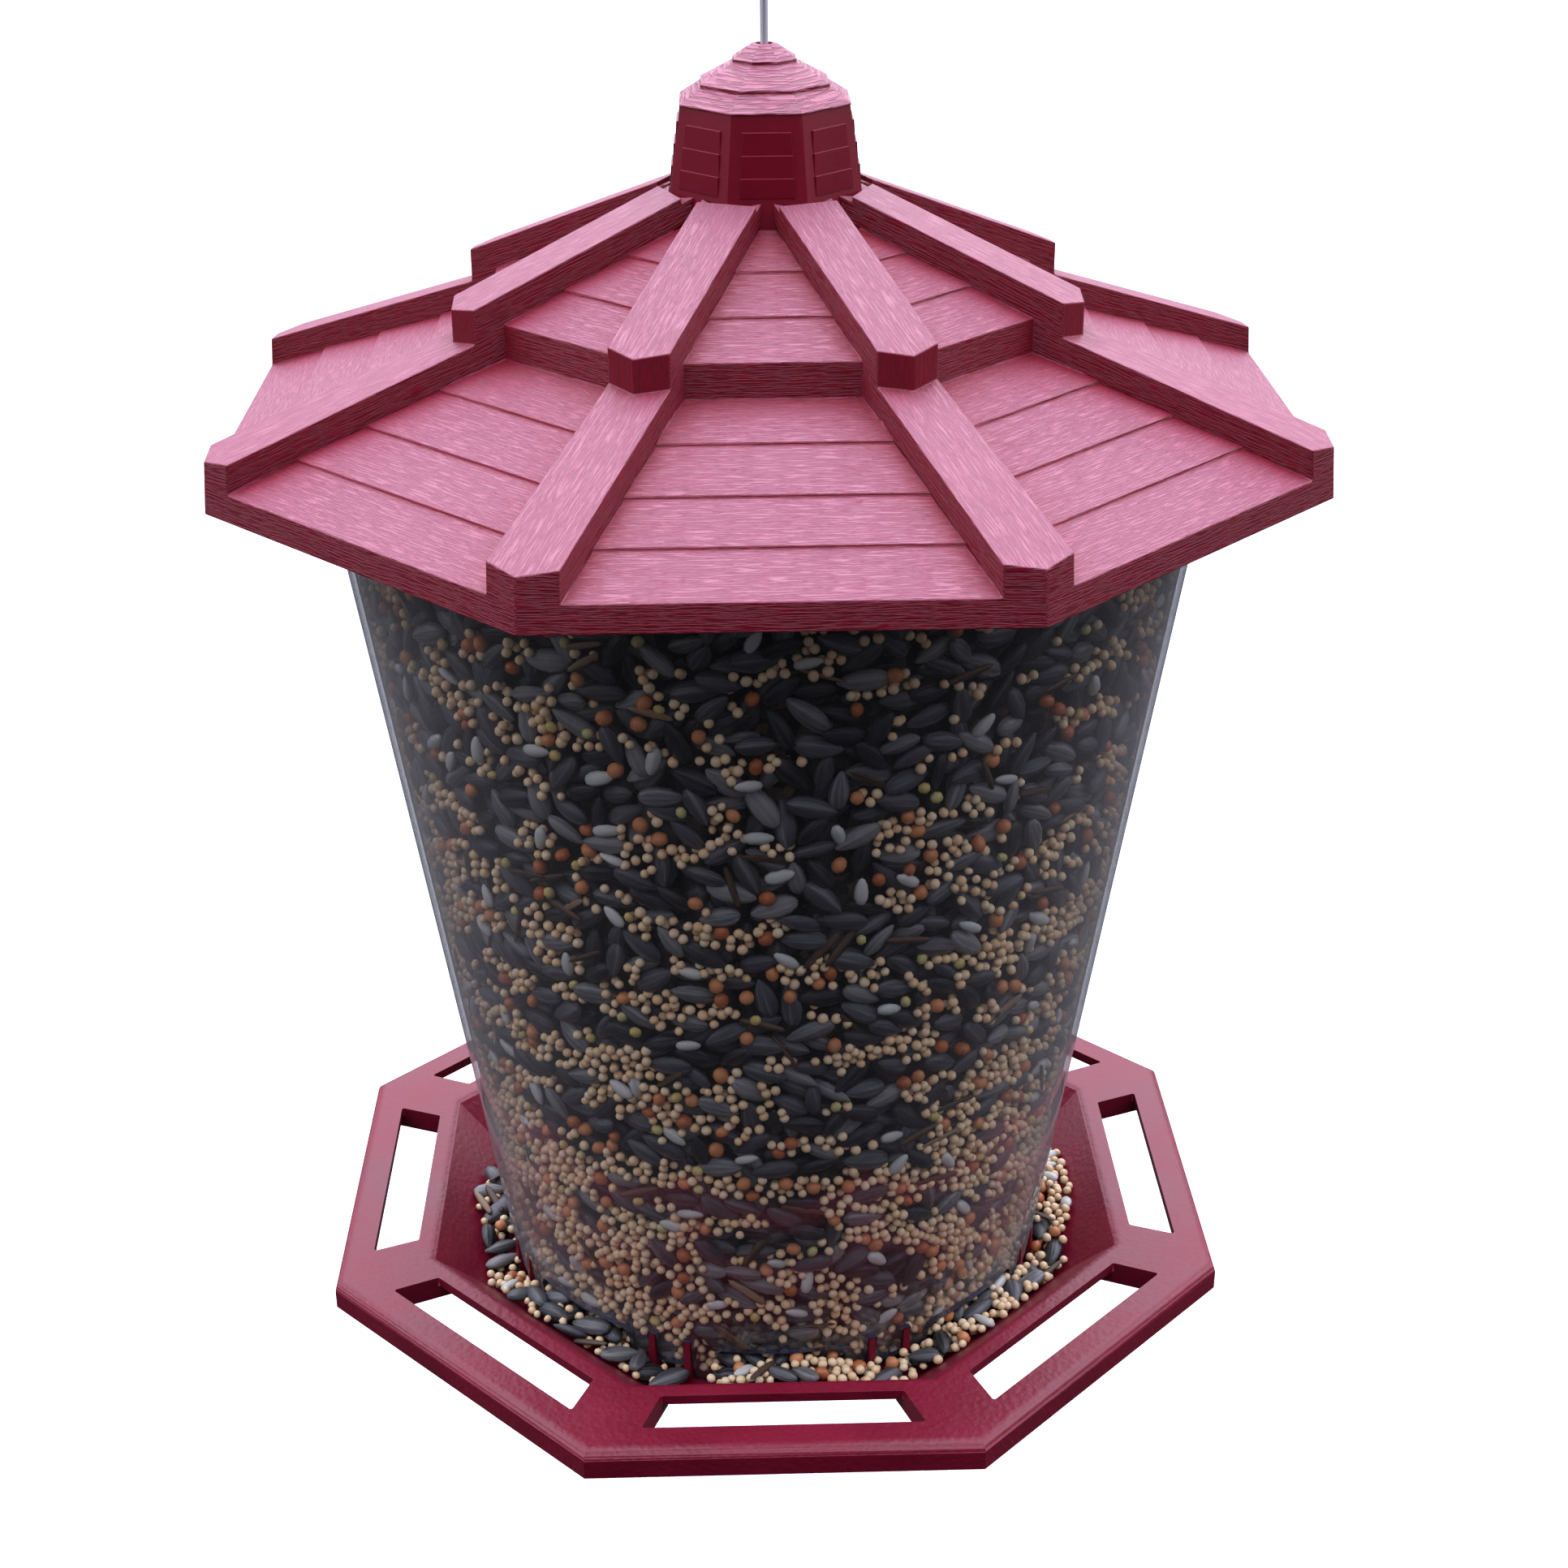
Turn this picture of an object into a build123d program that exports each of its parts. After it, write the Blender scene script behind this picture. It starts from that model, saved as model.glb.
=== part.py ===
from build123d import *

import math
import os

# Hanging seed feeder: a clear tapered jar on an octagonal perch tray, under a two-tier roof that
# slides up its hanger wire. Millimetres. +Z is up, the Z axis runs along the wire, and z = 0 is the
# flat underside of the tray. One flat side of every octagon faces -Y.

# ---- driving dimensions ----------------------------------------------------------------------------

SIDES = 8
HALF_SIDE = 22.5  # degrees from the middle of a side to its corner
CUT_REACH = 30.0  # how far a cutting solid runs on past its wall
OVERLENGTH = 1.0  # of a batten's end before it is trimmed

# tray: perch rim, dish and raised centre
RIM_TOP = 20.2
RIM_APOTHEM = 118.8
RIM_PLATE = 2.7
RIM_SKIRT_FOOT = 12.3
RIM_ROUND = 3.0
TRAY_WALL = 2.5
DISH_APOTHEM = 93.8  # where the rim turns down into the dish, which slopes at 45 degrees
DISH_LIP_ROUND = 3.2
FLOOR_TOP = 2.5
SLOT_NEAR = 98.2  # apothems of the two long edges of a perch slot
SLOT_FAR = 109.9
SLOT_NEAR_HALF = 30.6
SLOT_FAR_HALF = 35.2
SLOT_ROUND = 0.6
SLOT_WEB = 1.6  # thickness of the web under the rim along each end of a slot
SLOT_WEB_DEPTH = 6.5  # from the rim's top
SLOT_WEB_INNER = 94.0  # apothems of the web's two ends, in the dish's wall and in the skirt
SLOT_WEB_OUTER = 116.9
DOME_RADIUS = 20.0
DOME_TOP = 20.0
CONE_SEAT_RADIUS = 54.6
CONE_SEAT_WIDTH = 1.6
CONE_SEAT_TOP = 5.0
DRAIN_RADIUS = 1.25
DRAIN_CIRCLE = 66.0

# latch tongues of the tray, which stand in slits of the jar
TONGUE_SPACING = 10.0
TONGUE_RIB = 1.8
TONGUE_TOP = 15.5
TONGUE_WEB = 1.4
TONGUE_INNER = 69.4
TONGUE_OUTER = 75.9
TONGUE_WINDOW_HALF = 3.4
TAB_FOOT = 6.9  # lower edge of the jar's tab between two slits

# jar: a thin cone, open at the top
JAR_FOOT_RADIUS = 73.95
JAR_TAPER = 0.1497  # growth of the radius for each millimetre of height
JAR_TOP = 247.5
JAR_WALL = 1.6
JAR_BEAD = 1.2
JAR_BEAD_HEIGHT = 2.4
PORT_HALF_WIDTH = 17.2
PORT_TOP = 14.5
PORT_ROUND = 3.0
SLIT_CLEARANCE = 0.35

# seed cone over the raised centre
CONE_FOOT_RADIUS = 60.0
CONE_FOOT_EDGE = 1.2
CONE_TOP = 42.0
CONE_NECK = 2.0
CONE_BORE = 4.8
CONE_WALL = 2.0

# roof: eave, lower planks, upper tier
EAVE = 239.5
EAVE_APOTHEM = 129.3
LOWER_EDGE = 246.0  # top of the eave fascia
LOWER_EDGE_APOTHEM = 128.8
LOWER_LAPS = (113.5, 98.1, 81.6)  # apothems of the steps between the planks
UPPER_APOTHEM = 66.5
UPPER_FOOT = 268.9
UPPER_EDGE = 277.1  # top of the upper fascia
UPPER_LAPS = (52.8, 38.0)
LAP = 0.7
COURSE_DEPTH = 4.0  # how far one course of planks runs down inside the next
ROOF_WALL = 2.7
RIDGE = 295.8  # where the upper planks meet the cupola
RIDGE_APOTHEM = 23.3

# battens over the corners of the roof
RIB_HEIGHT = 5.7
UPPER_RIB_HALF = 7.4
LOWER_RIB_HALF = 8.3
UPPER_RIB_END = 73.0
RIB_CUPOLA_GAP = 0.1  # between the square head of an upper batten and the corner of the cupola
RIB_TOE_REACH = 40.0  # apothem, well inside the batten
RIB_TOE_DROP = 1.3  # from the batten's top to the toe that runs on from its head to the cupola

# gussets under the corners, which sit round the jar's bead
GUSSET_HALF = 1.0
GUSSET_INNER = 96.0
GUSSET_LIP = 2.0
GUSSET_LIP_DROP = 5.0
GAP = 0.3  # between faces that move past each other

# cupola
CUPOLA_FOOT = 291.4
CUPOLA_TOP = 321.1
CUPOLA_TOP_APOTHEM = 19.7
CUPOLA_WALL = 2.0
CUPOLA_FLANGE = 1.8
CUPOLA_WEB_TOP = 315.8
CUPOLA_WEB = 1.8
WEB_HOLE = 1.6
SLAT_TOPS = (317.3, 312.25, 307.2)
SLAT_FOOT = 302.8
SLAT_HALF_TOP = 5.6
SLAT_HALF_FOOT = 6.4
SLAT_PROUD = 0.5
SLAT_SUNK = 0.12

# cupola cap: foot apothem, foot height, lip, head apothem and head height of each lapped tier
CAP_TIERS = (
    (19.95, 321.1, 0.4, 14.6, 325.1),
    (15.0, 324.7, 0.9, 7.0, 330.2),
    (7.4, 329.8, 0.9, 2.7, 333.9),
)
CAP_BORE = 2.0
CAP_BOSS_RADIUS = 5.6
CAP_SPIGOT_FOOT = 318.4
CAP_SPIGOT_APOTHEM = 17.4
CAP_SPIGOT_WALL = 1.6
CAP_HOLLOW_TOP = 323.0
CAP_HOLLOW_STEP = 2.0

# guide bush, which slides on the wire inside the cap
BUSH_RADIUS = 3.0
BUSH_FLANGE_RADIUS = 4.8
BUSH_FLANGE = 1.6
BUSH_FOOT = 316.3
BUSH_TOP = 329.0

# hanger wire and its eye
WIRE_RADIUS = 0.95
WIRE_FOOT = 26.0
EYE_NECK = 448.0  # where the wire leaves its axis
EYE_RADIUS = 9.0
EYE_LEAN = 35.0  # degrees
EYE_BEND = 8.0
TAIL_SPACING = 2.2
TAIL_LENGTH = 12.5
FERRULE_LENGTH = 10.0
FERRULE_WALL = 0.9
FERRULE_CHAMFER = 0.3

# threaded end, washers and wing nut
STUD_RADIUS = 2.5
STUD_FOOT = 4.0
STUD_SHOULDER_RADIUS = 4.0
STUD_SHOULDER = 2.2
STUD_SLEEVE_RADIUS = 2.2
STUD_SLEEVE_TOP = 38.0
STUD_HOLE = 2.7
WASHER_RADIUS = 9.0
WASHER = 1.2
LOCK_RADIUS = 4.7
LOCK_SPLIT = 0.9
LOCK_SLANT = 20.0  # degrees
NUT_PLAY = 0.1
NUT_BORE = 2.58
NUT_HUB_RADIUS = 4.6
NUT_HUB_FOOT_RADIUS = 3.9
NUT_HUB = 5.4
WING_REACH = 12.5
WING_DROP = 6.2
WING = 1.7
WING_ROUND = 2.6

# ---- sizes worked out from them --------------------------------------------------------------------

COS_HALF = math.cos(math.radians(HALF_SIDE))
LOWER_SLOPE = (UPPER_FOOT - LOWER_EDGE) / (LOWER_EDGE_APOTHEM - UPPER_APOTHEM)
UPPER_SLOPE = (RIDGE - UPPER_EDGE) / (UPPER_APOTHEM - RIDGE_APOTHEM)
CUPOLA_SLOPE = (RIDGE_APOTHEM - CUPOLA_TOP_APOTHEM) / (CUPOLA_TOP - RIDGE)
SLOT_SPLAY = (SLOT_FAR_HALF - SLOT_NEAR_HALF) / (SLOT_FAR - SLOT_NEAR)
EAVE_DRAFT = (EAVE_APOTHEM - LOWER_EDGE_APOTHEM) / (LOWER_EDGE - EAVE)
WASHER_TOP = DOME_TOP - TRAY_WALL
LOCK_TOP = WASHER_TOP - WASHER
NUT_TOP = LOCK_TOP - WASHER - NUT_PLAY


def jar_radius(height):
    """Outer radius of the jar."""
    return JAR_FOOT_RADIUS + JAR_TAPER * (height - FLOOR_TOP)


def slot_half(apothem):
    """Half the length of a perch slot at an apothem, and of its end's line beyond the slot."""
    return SLOT_NEAR_HALF + SLOT_SPLAY * (apothem - SLOT_NEAR)


def lower_surface(apothem):
    """Height of the lower planks."""
    return LOWER_EDGE + LOWER_SLOPE * (LOWER_EDGE_APOTHEM - apothem)


def upper_surface(apothem):
    """Height of the upper planks."""
    return UPPER_EDGE + UPPER_SLOPE * (UPPER_APOTHEM - apothem)


def eave_apothem(height):
    """Apothem of the drafted eave fascia."""
    return EAVE_APOTHEM - EAVE_DRAFT * (height - EAVE)


def cupola_apothem(height):
    """Outer apothem of the cupola's wall."""
    return CUPOLA_TOP_APOTHEM + CUPOLA_SLOPE * (CUPOLA_TOP - height)


def octagon_stack(*levels):
    """A solid with an octagon at each (apothem, height), straight between them."""
    with BuildPart() as stack:
        for apothem, height in levels:
            with BuildSketch(Plane.XY.offset(height)):
                RegularPolygon(apothem, SIDES, major_radius=False, rotation=HALF_SIDE)
        loft(ruled=True)
    return stack.part


def turned(*outline):
    """A solid of revolution about the Z axis, from its outline of (radius, height)."""
    with BuildPart() as spun:
        with BuildSketch(Plane.XZ):
            Polygon(*outline, align=None)
        revolve(axis=Axis.Z)
    return spun.part


def slab(outline, half_width):
    """An upright slab on both sides of the XZ plane, from its outline of (x, height)."""
    with BuildPart() as plate:
        with BuildSketch(Plane.XZ):
            Polygon(*outline, align=None)
        extrude(amount=half_width, both=True)
    return plate.part


def plank_courses(edges, surface, depth):
    """One solid for each course of planks, with a step of LAP at its outer edge."""
    courses = []
    for outer, inner in zip(edges, edges[1:]):
        step = LAP if courses else 0.0
        top = surface(outer) + step
        courses.append(octagon_stack((outer, top - depth), (outer, top), (inner, surface(inner))))
    return courses


def batten(plan, profile):
    """A batten along +X, from its plan of (x, y) and its side profile of (x, height)."""
    with BuildPart() as strip:
        with BuildSketch():
            Polygon(*plan, align=None)
        extrude(amount=CUPOLA_TOP)
        with BuildSketch(Plane.XZ):
            Polygon(*profile, align=None)
        extrude(amount=LOWER_RIB_HALF * 2, both=True, mode=Mode.INTERSECT)
    return strip.part


# ---- tray ------------------------------------------------------------------------------------------

dish_reach = RIM_TOP - FLOOR_TOP
floor_apothem = DISH_APOTHEM - dish_reach
outer_shift = TRAY_WALL * math.sqrt(2)
rim_underside = RIM_TOP - RIM_PLATE

rim_pocket = octagon_stack(
    (RIM_APOTHEM - TRAY_WALL, RIM_SKIRT_FOOT), (RIM_APOTHEM - TRAY_WALL, rim_underside)
)
dish_outside = octagon_stack(
    (floor_apothem + outer_shift - FLOOR_TOP, 0), (DISH_APOTHEM + outer_shift - RIM_PLATE, rim_underside)
)
dish_inside = octagon_stack((floor_apothem, FLOOR_TOP), (DISH_APOTHEM, RIM_TOP))
dome_inside = DOME_RADIUS - TRAY_WALL
dome = turned((0, 0), (DOME_RADIUS, 0), (DOME_RADIUS, DOME_TOP), (0, DOME_TOP))
dome_hollow = turned((0, 0), (dome_inside, 0), (dome_inside, WASHER_TOP), (0, WASHER_TOP))

with BuildPart() as perch_slot:
    with BuildSketch(Plane.XY.offset(RIM_SKIRT_FOOT)):
        Polygon(
            (SLOT_NEAR, -SLOT_NEAR_HALF),
            (SLOT_FAR, -SLOT_FAR_HALF),
            (SLOT_FAR, SLOT_FAR_HALF),
            (SLOT_NEAR, SLOT_NEAR_HALF),
            align=None,
        )
        fillet(vertices(), radius=SLOT_ROUND)
    extrude(amount=RIM_TOP)

with BuildPart() as slot_web:
    with BuildSketch(Plane.XY.offset(RIM_TOP - SLOT_WEB_DEPTH)):
        Polygon(
            (SLOT_WEB_INNER, slot_half(SLOT_WEB_INNER)),
            (SLOT_WEB_OUTER, slot_half(SLOT_WEB_OUTER)),
            (SLOT_WEB_OUTER, slot_half(SLOT_WEB_OUTER) + SLOT_WEB),
            (SLOT_WEB_INNER, slot_half(SLOT_WEB_INNER) + SLOT_WEB),
            align=None,
        )
        Polygon(
            (SLOT_WEB_INNER, -slot_half(SLOT_WEB_INNER)),
            (SLOT_WEB_OUTER, -slot_half(SLOT_WEB_OUTER)),
            (SLOT_WEB_OUTER, -slot_half(SLOT_WEB_OUTER) - SLOT_WEB),
            (SLOT_WEB_INNER, -slot_half(SLOT_WEB_INNER) - SLOT_WEB),
            align=None,
        )
    extrude(amount=SLOT_WEB_DEPTH - RIM_PLATE / 2)

with BuildPart() as tongue:
    with BuildSketch(Plane.XY.offset(FLOOR_TOP)):
        with Locations((TONGUE_INNER + TONGUE_WEB / 2, 0)):
            Rectangle(TONGUE_WEB, TONGUE_SPACING)
        with Locations(
            ((TONGUE_INNER + TONGUE_OUTER) / 2, TONGUE_SPACING / 2),
            ((TONGUE_INNER + TONGUE_OUTER) / 2, -TONGUE_SPACING / 2),
        ):
            Rectangle(TONGUE_OUTER - TONGUE_INNER, TONGUE_RIB)
    extrude(amount=TONGUE_TOP - FLOOR_TOP)
    with BuildSketch(Plane.XY.offset(FLOOR_TOP)):
        with Locations((TONGUE_INNER + TONGUE_WEB / 2, 0)):
            Rectangle(TONGUE_WEB * 2, TONGUE_WINDOW_HALF * 2)
    extrude(amount=TAB_FOOT - FLOOR_TOP, mode=Mode.SUBTRACT)

with BuildPart() as tray:
    with BuildSketch(Plane.XY.offset(RIM_SKIRT_FOOT)):
        RegularPolygon(RIM_APOTHEM, SIDES, major_radius=False, rotation=HALF_SIDE)
    extrude(amount=RIM_TOP - RIM_SKIRT_FOOT)
    fillet(tray.edges().group_by(Axis.Z)[-1], radius=RIM_ROUND)
    add(rim_pocket, mode=Mode.SUBTRACT)
    add(dish_outside)
    add(dish_inside, mode=Mode.SUBTRACT)
    lip = tray.faces().sort_by(Axis.Z)[-1].inner_wires()[0]
    fillet(lip.edges(), radius=DISH_LIP_ROUND)
    with PolarLocations(0, SIDES):
        add(slot_web.part)
    with PolarLocations(0, SIDES):
        add(perch_slot.part, mode=Mode.SUBTRACT)
    add(dome)
    with BuildSketch(Plane.XY.offset(FLOOR_TOP)):
        Circle(CONE_SEAT_RADIUS)
        Circle(CONE_SEAT_RADIUS - CONE_SEAT_WIDTH, mode=Mode.SUBTRACT)
    extrude(amount=CONE_SEAT_TOP - FLOOR_TOP)
    add(dome_hollow, mode=Mode.SUBTRACT)
    with Locations((0, 0, DOME_TOP)):
        Hole(STUD_HOLE, depth=TRAY_WALL * 2)
    with PolarLocations(0, SIDES, start_angle=HALF_SIDE):
        add(tongue.part)
    with Locations(Plane.XY.offset(FLOOR_TOP)):
        with PolarLocations(DRAIN_CIRCLE, SIDES):
            Hole(DRAIN_RADIUS, depth=FLOOR_TOP)

# ---- jar -------------------------------------------------------------------------------------------

with BuildPart() as port_cut:
    with BuildSketch(Plane.YZ.offset(CONE_FOOT_RADIUS)):
        Polygon(
            (-PORT_HALF_WIDTH, 0),
            (PORT_HALF_WIDTH, 0),
            (PORT_HALF_WIDTH, PORT_TOP),
            (-PORT_HALF_WIDTH, PORT_TOP),
            align=None,
        )
        fillet(vertices().group_by(Axis.Z)[-1], radius=PORT_ROUND)
    extrude(amount=CUT_REACH)

slit_half = TONGUE_RIB / 2 + SLIT_CLEARANCE
slit_top = TONGUE_TOP + SLIT_CLEARANCE
with BuildPart() as latch_cut:
    with BuildSketch(Plane.YZ.offset(CONE_FOOT_RADIUS)):
        with Locations((TONGUE_SPACING / 2, slit_top / 2), (-TONGUE_SPACING / 2, slit_top / 2)):
            Rectangle(slit_half * 2, slit_top)
        with Locations((0, TAB_FOOT / 2)):
            Rectangle(TONGUE_SPACING, TAB_FOOT)
    extrude(amount=CUT_REACH)

bead_foot = JAR_TOP - JAR_BEAD_HEIGHT
bead_radius = jar_radius(JAR_TOP) + JAR_BEAD
jar_shell = turned(
    (jar_radius(FLOOR_TOP) - JAR_WALL, FLOOR_TOP),
    (jar_radius(FLOOR_TOP), FLOOR_TOP),
    (jar_radius(bead_foot), bead_foot),
    (bead_radius, bead_foot),
    (bead_radius, JAR_TOP),
    (jar_radius(JAR_TOP) - JAR_WALL, JAR_TOP),
)

with BuildPart() as jar:
    add(jar_shell)
    with PolarLocations(0, SIDES):
        add(port_cut.part, mode=Mode.SUBTRACT)
    with PolarLocations(0, SIDES, start_angle=HALF_SIDE):
        add(latch_cut.part, mode=Mode.SUBTRACT)

# ---- seed cone -------------------------------------------------------------------------------------

cone_neck = CONE_BORE + CONE_WALL
with BuildPart() as seed_cone:
    with BuildSketch(Plane.XZ):
        Polygon(
            (CONE_FOOT_RADIUS - CONE_WALL, FLOOR_TOP),
            (CONE_FOOT_RADIUS, FLOOR_TOP),
            (CONE_FOOT_RADIUS, FLOOR_TOP + CONE_FOOT_EDGE),
            (cone_neck, CONE_TOP - CONE_NECK),
            (cone_neck, CONE_TOP),
            (CONE_BORE, CONE_TOP),
            (CONE_BORE, CONE_TOP - CONE_NECK * 2),
            (CONE_FOOT_RADIUS - CONE_WALL, FLOOR_TOP + CONE_FOOT_EDGE / 2),
            align=None,
        )
    revolve(axis=Axis.Z)

# ---- roof ------------------------------------------------------------------------------------------

lower_edges = (LOWER_EDGE_APOTHEM, *LOWER_LAPS, UPPER_APOTHEM - ROOF_WALL)
upper_edges = (UPPER_APOTHEM, *UPPER_LAPS, CUPOLA_TOP_APOTHEM)
lower_courses = plank_courses(lower_edges, lower_surface, COURSE_DEPTH)
upper_courses = plank_courses(upper_edges, upper_surface, COURSE_DEPTH)
eave_band = octagon_stack(
    (EAVE_APOTHEM, EAVE), (LOWER_EDGE_APOTHEM, LOWER_EDGE), (LOWER_LAPS[0], lower_surface(LOWER_LAPS[0]))
)
upper_block = octagon_stack((UPPER_APOTHEM, lower_surface(LOWER_LAPS[1])), (UPPER_APOTHEM, UPPER_EDGE))

eave_inside = eave_apothem(EAVE) - ROOF_WALL
upper_inside = UPPER_APOTHEM - ROOF_WALL
roof_hollow = octagon_stack(
    (eave_inside, EAVE),
    (eave_inside, lower_surface(eave_inside) - ROOF_WALL),
    (upper_inside, lower_surface(upper_inside) - ROOF_WALL),
    (upper_inside, upper_surface(upper_inside) - ROOF_WALL),
    (CUPOLA_TOP_APOTHEM, upper_surface(CUPOLA_TOP_APOTHEM) - ROOF_WALL),
)
cupola_outside = octagon_stack(
    (cupola_apothem(CUPOLA_FOOT), CUPOLA_FOOT), (CUPOLA_TOP_APOTHEM, CUPOLA_TOP)
)

rib_start = CUPOLA_TOP_APOTHEM
rib_tip = EAVE_APOTHEM / COS_HALF + OVERLENGTH
upper_tip = UPPER_RIB_END / COS_HALF + OVERLENGTH
lower_rib = batten(
    (
        (rib_start, -UPPER_RIB_HALF),
        (upper_tip, -UPPER_RIB_HALF),
        (rib_tip, -LOWER_RIB_HALF),
        (rib_tip, LOWER_RIB_HALF),
        (upper_tip, UPPER_RIB_HALF),
        (rib_start, UPPER_RIB_HALF),
    ),
    (
        (upper_inside, lower_surface(upper_inside * COS_HALF) - ROOF_WALL),
        (rib_tip, EAVE),
        (rib_tip, lower_surface(rib_tip * COS_HALF) + RIB_HEIGHT),
        (upper_inside, lower_surface(upper_inside * COS_HALF) + RIB_HEIGHT),
    ),
)
upper_plan = (
    (rib_start, -UPPER_RIB_HALF),
    (upper_tip, -UPPER_RIB_HALF),
    (upper_tip, UPPER_RIB_HALF),
    (rib_start, UPPER_RIB_HALF),
)
upper_foot = (
    (rib_start, upper_surface(rib_start * COS_HALF)),
    (upper_inside, UPPER_EDGE - ROOF_WALL),
    (upper_inside, lower_surface(upper_inside)),
    (upper_tip, lower_surface(upper_tip * COS_HALF)),
)
upper_rib = batten(
    upper_plan,
    (
        *upper_foot,
        (upper_tip, upper_surface(upper_tip * COS_HALF) + RIB_HEIGHT),
        (rib_start, upper_surface(rib_start * COS_HALF) + RIB_HEIGHT),
    ),
)
rib_toe = batten(
    upper_plan,
    (
        *upper_foot,
        (upper_tip, upper_surface(upper_tip * COS_HALF) + RIB_HEIGHT - RIB_TOE_DROP),
        (rib_start, upper_surface(rib_start * COS_HALF) + RIB_HEIGHT - RIB_TOE_DROP),
    ),
)
lower_limit = octagon_stack((EAVE_APOTHEM, EAVE), (eave_apothem(RIDGE), RIDGE))
upper_limit = octagon_stack((UPPER_RIB_END, EAVE), (UPPER_RIB_END, CUPOLA_TOP))
rib_heads = octagon_stack(
    (cupola_apothem(CUPOLA_FOOT) / COS_HALF + RIB_CUPOLA_GAP, CUPOLA_FOOT),
    (CUPOLA_TOP_APOTHEM / COS_HALF + RIB_CUPOLA_GAP, CUPOLA_TOP),
)

with BuildPart() as lower_ribs:
    with PolarLocations(0, SIDES, start_angle=HALF_SIDE):
        add(lower_rib)
    add(lower_limit, mode=Mode.INTERSECT)

with BuildPart() as upper_ribs:
    with PolarLocations(0, SIDES, start_angle=HALF_SIDE):
        add(upper_rib)
    add(upper_limit, mode=Mode.INTERSECT)
    add(rib_heads, rotation=(0, 0, HALF_SIDE), mode=Mode.SUBTRACT)

with BuildPart() as rib_toes:
    with PolarLocations(0, SIDES, start_angle=HALF_SIDE):
        add(rib_toe)
    add(octagon_stack((RIB_TOE_REACH, EAVE), (RIB_TOE_REACH, CUPOLA_TOP)), mode=Mode.INTERSECT)

seat = JAR_TOP + GAP
lip_inner = bead_radius + GAP * 2
lip_outer = lip_inner + GUSSET_LIP
gusset = slab(
    (
        (GUSSET_INNER, seat),
        (lip_inner, seat),
        (lip_inner, JAR_TOP - GUSSET_LIP_DROP),
        (lip_outer, JAR_TOP - GUSSET_LIP_DROP),
        (lip_outer, lower_surface(lip_outer * COS_HALF) - ROOF_WALL / 2),
        (GUSSET_INNER, lower_surface(GUSSET_INNER * COS_HALF) - ROOF_WALL / 2),
    ),
    GUSSET_HALF,
)

with BuildPart() as roof:
    add(eave_band)
    for course in lower_courses:
        add(course)
    add(upper_block)
    for course in upper_courses:
        add(course)
    add(roof_hollow, mode=Mode.SUBTRACT)
    add(lower_ribs.part)
    add(upper_ribs.part)
    add(rib_toes.part)
    add(roof_hollow, mode=Mode.SUBTRACT)
    with PolarLocations(0, SIDES, start_angle=HALF_SIDE):
        add(gusset)
    add(cupola_outside, mode=Mode.SUBTRACT)

# ---- cupola ----------------------------------------------------------------------------------------

web_foot = CUPOLA_WEB_TOP - CUPOLA_WEB
flange_foot = CUPOLA_FOOT - CUPOLA_FLANGE
flange_apothem = cupola_apothem(CUPOLA_FOOT) + CUPOLA_FLANGE
cupola_flange = octagon_stack((flange_apothem, flange_foot), (flange_apothem, CUPOLA_FOOT))
cupola_bottom = octagon_stack(
    (cupola_apothem(flange_foot) - CUPOLA_WALL, flange_foot),
    (cupola_apothem(web_foot) - CUPOLA_WALL, web_foot),
)
cupola_head = octagon_stack(
    (cupola_apothem(CUPOLA_WEB_TOP) - CUPOLA_WALL, CUPOLA_WEB_TOP),
    (CUPOLA_TOP_APOTHEM - CUPOLA_WALL, CUPOLA_TOP),
)

slat_root = CUPOLA_TOP_APOTHEM - CUPOLA_WALL / 2
slat_outline = [(slat_root, SLAT_TOPS[0])]
for slat_top, slat_foot in zip(SLAT_TOPS, (*SLAT_TOPS[1:], SLAT_FOOT)):
    slat_outline.append((cupola_apothem(slat_top) + SLAT_PROUD, slat_top))
    slat_outline.append((cupola_apothem(slat_foot) + SLAT_SUNK, slat_foot))
slat_outline.append((slat_root, SLAT_FOOT))

with BuildPart() as shutter:
    with BuildSketch(Plane.YZ.offset(slat_root)):
        Polygon(
            (-SLAT_HALF_FOOT, SLAT_FOOT),
            (SLAT_HALF_FOOT, SLAT_FOOT),
            (SLAT_HALF_TOP, SLAT_TOPS[0]),
            (-SLAT_HALF_TOP, SLAT_TOPS[0]),
            align=None,
        )
    extrude(amount=CUPOLA_TOP_APOTHEM)
    with BuildSketch(Plane.XZ):
        Polygon(*slat_outline, align=None)
    extrude(amount=CUPOLA_TOP_APOTHEM, both=True, mode=Mode.INTERSECT)

with BuildPart() as cupola:
    add(cupola_outside)
    add(cupola_flange)
    with PolarLocations(0, SIDES):
        add(shutter.part)
    add(cupola_bottom, mode=Mode.SUBTRACT)
    add(cupola_head, mode=Mode.SUBTRACT)
    with Locations((0, 0, CUPOLA_WEB_TOP)):
        Hole(WEB_HOLE, depth=CUPOLA_WEB * 2)

# ---- cupola cap ------------------------------------------------------------------------------------

cap_tiers = []
for foot_apothem, foot, lip_height, head_apothem, head in CAP_TIERS:
    cap_tiers.append(
        octagon_stack((foot_apothem, foot), (foot_apothem, foot + lip_height), (head_apothem, head))
    )
cap_spigot = octagon_stack((CAP_SPIGOT_APOTHEM, CAP_SPIGOT_FOOT), (CAP_SPIGOT_APOTHEM, CUPOLA_TOP))
spigot_inside = CAP_SPIGOT_APOTHEM - CAP_SPIGOT_WALL
cap_hollow = octagon_stack(
    (spigot_inside, CAP_SPIGOT_FOOT),
    (spigot_inside, CUPOLA_TOP),
    (spigot_inside - CAP_HOLLOW_STEP, CAP_HOLLOW_TOP),
)

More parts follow.
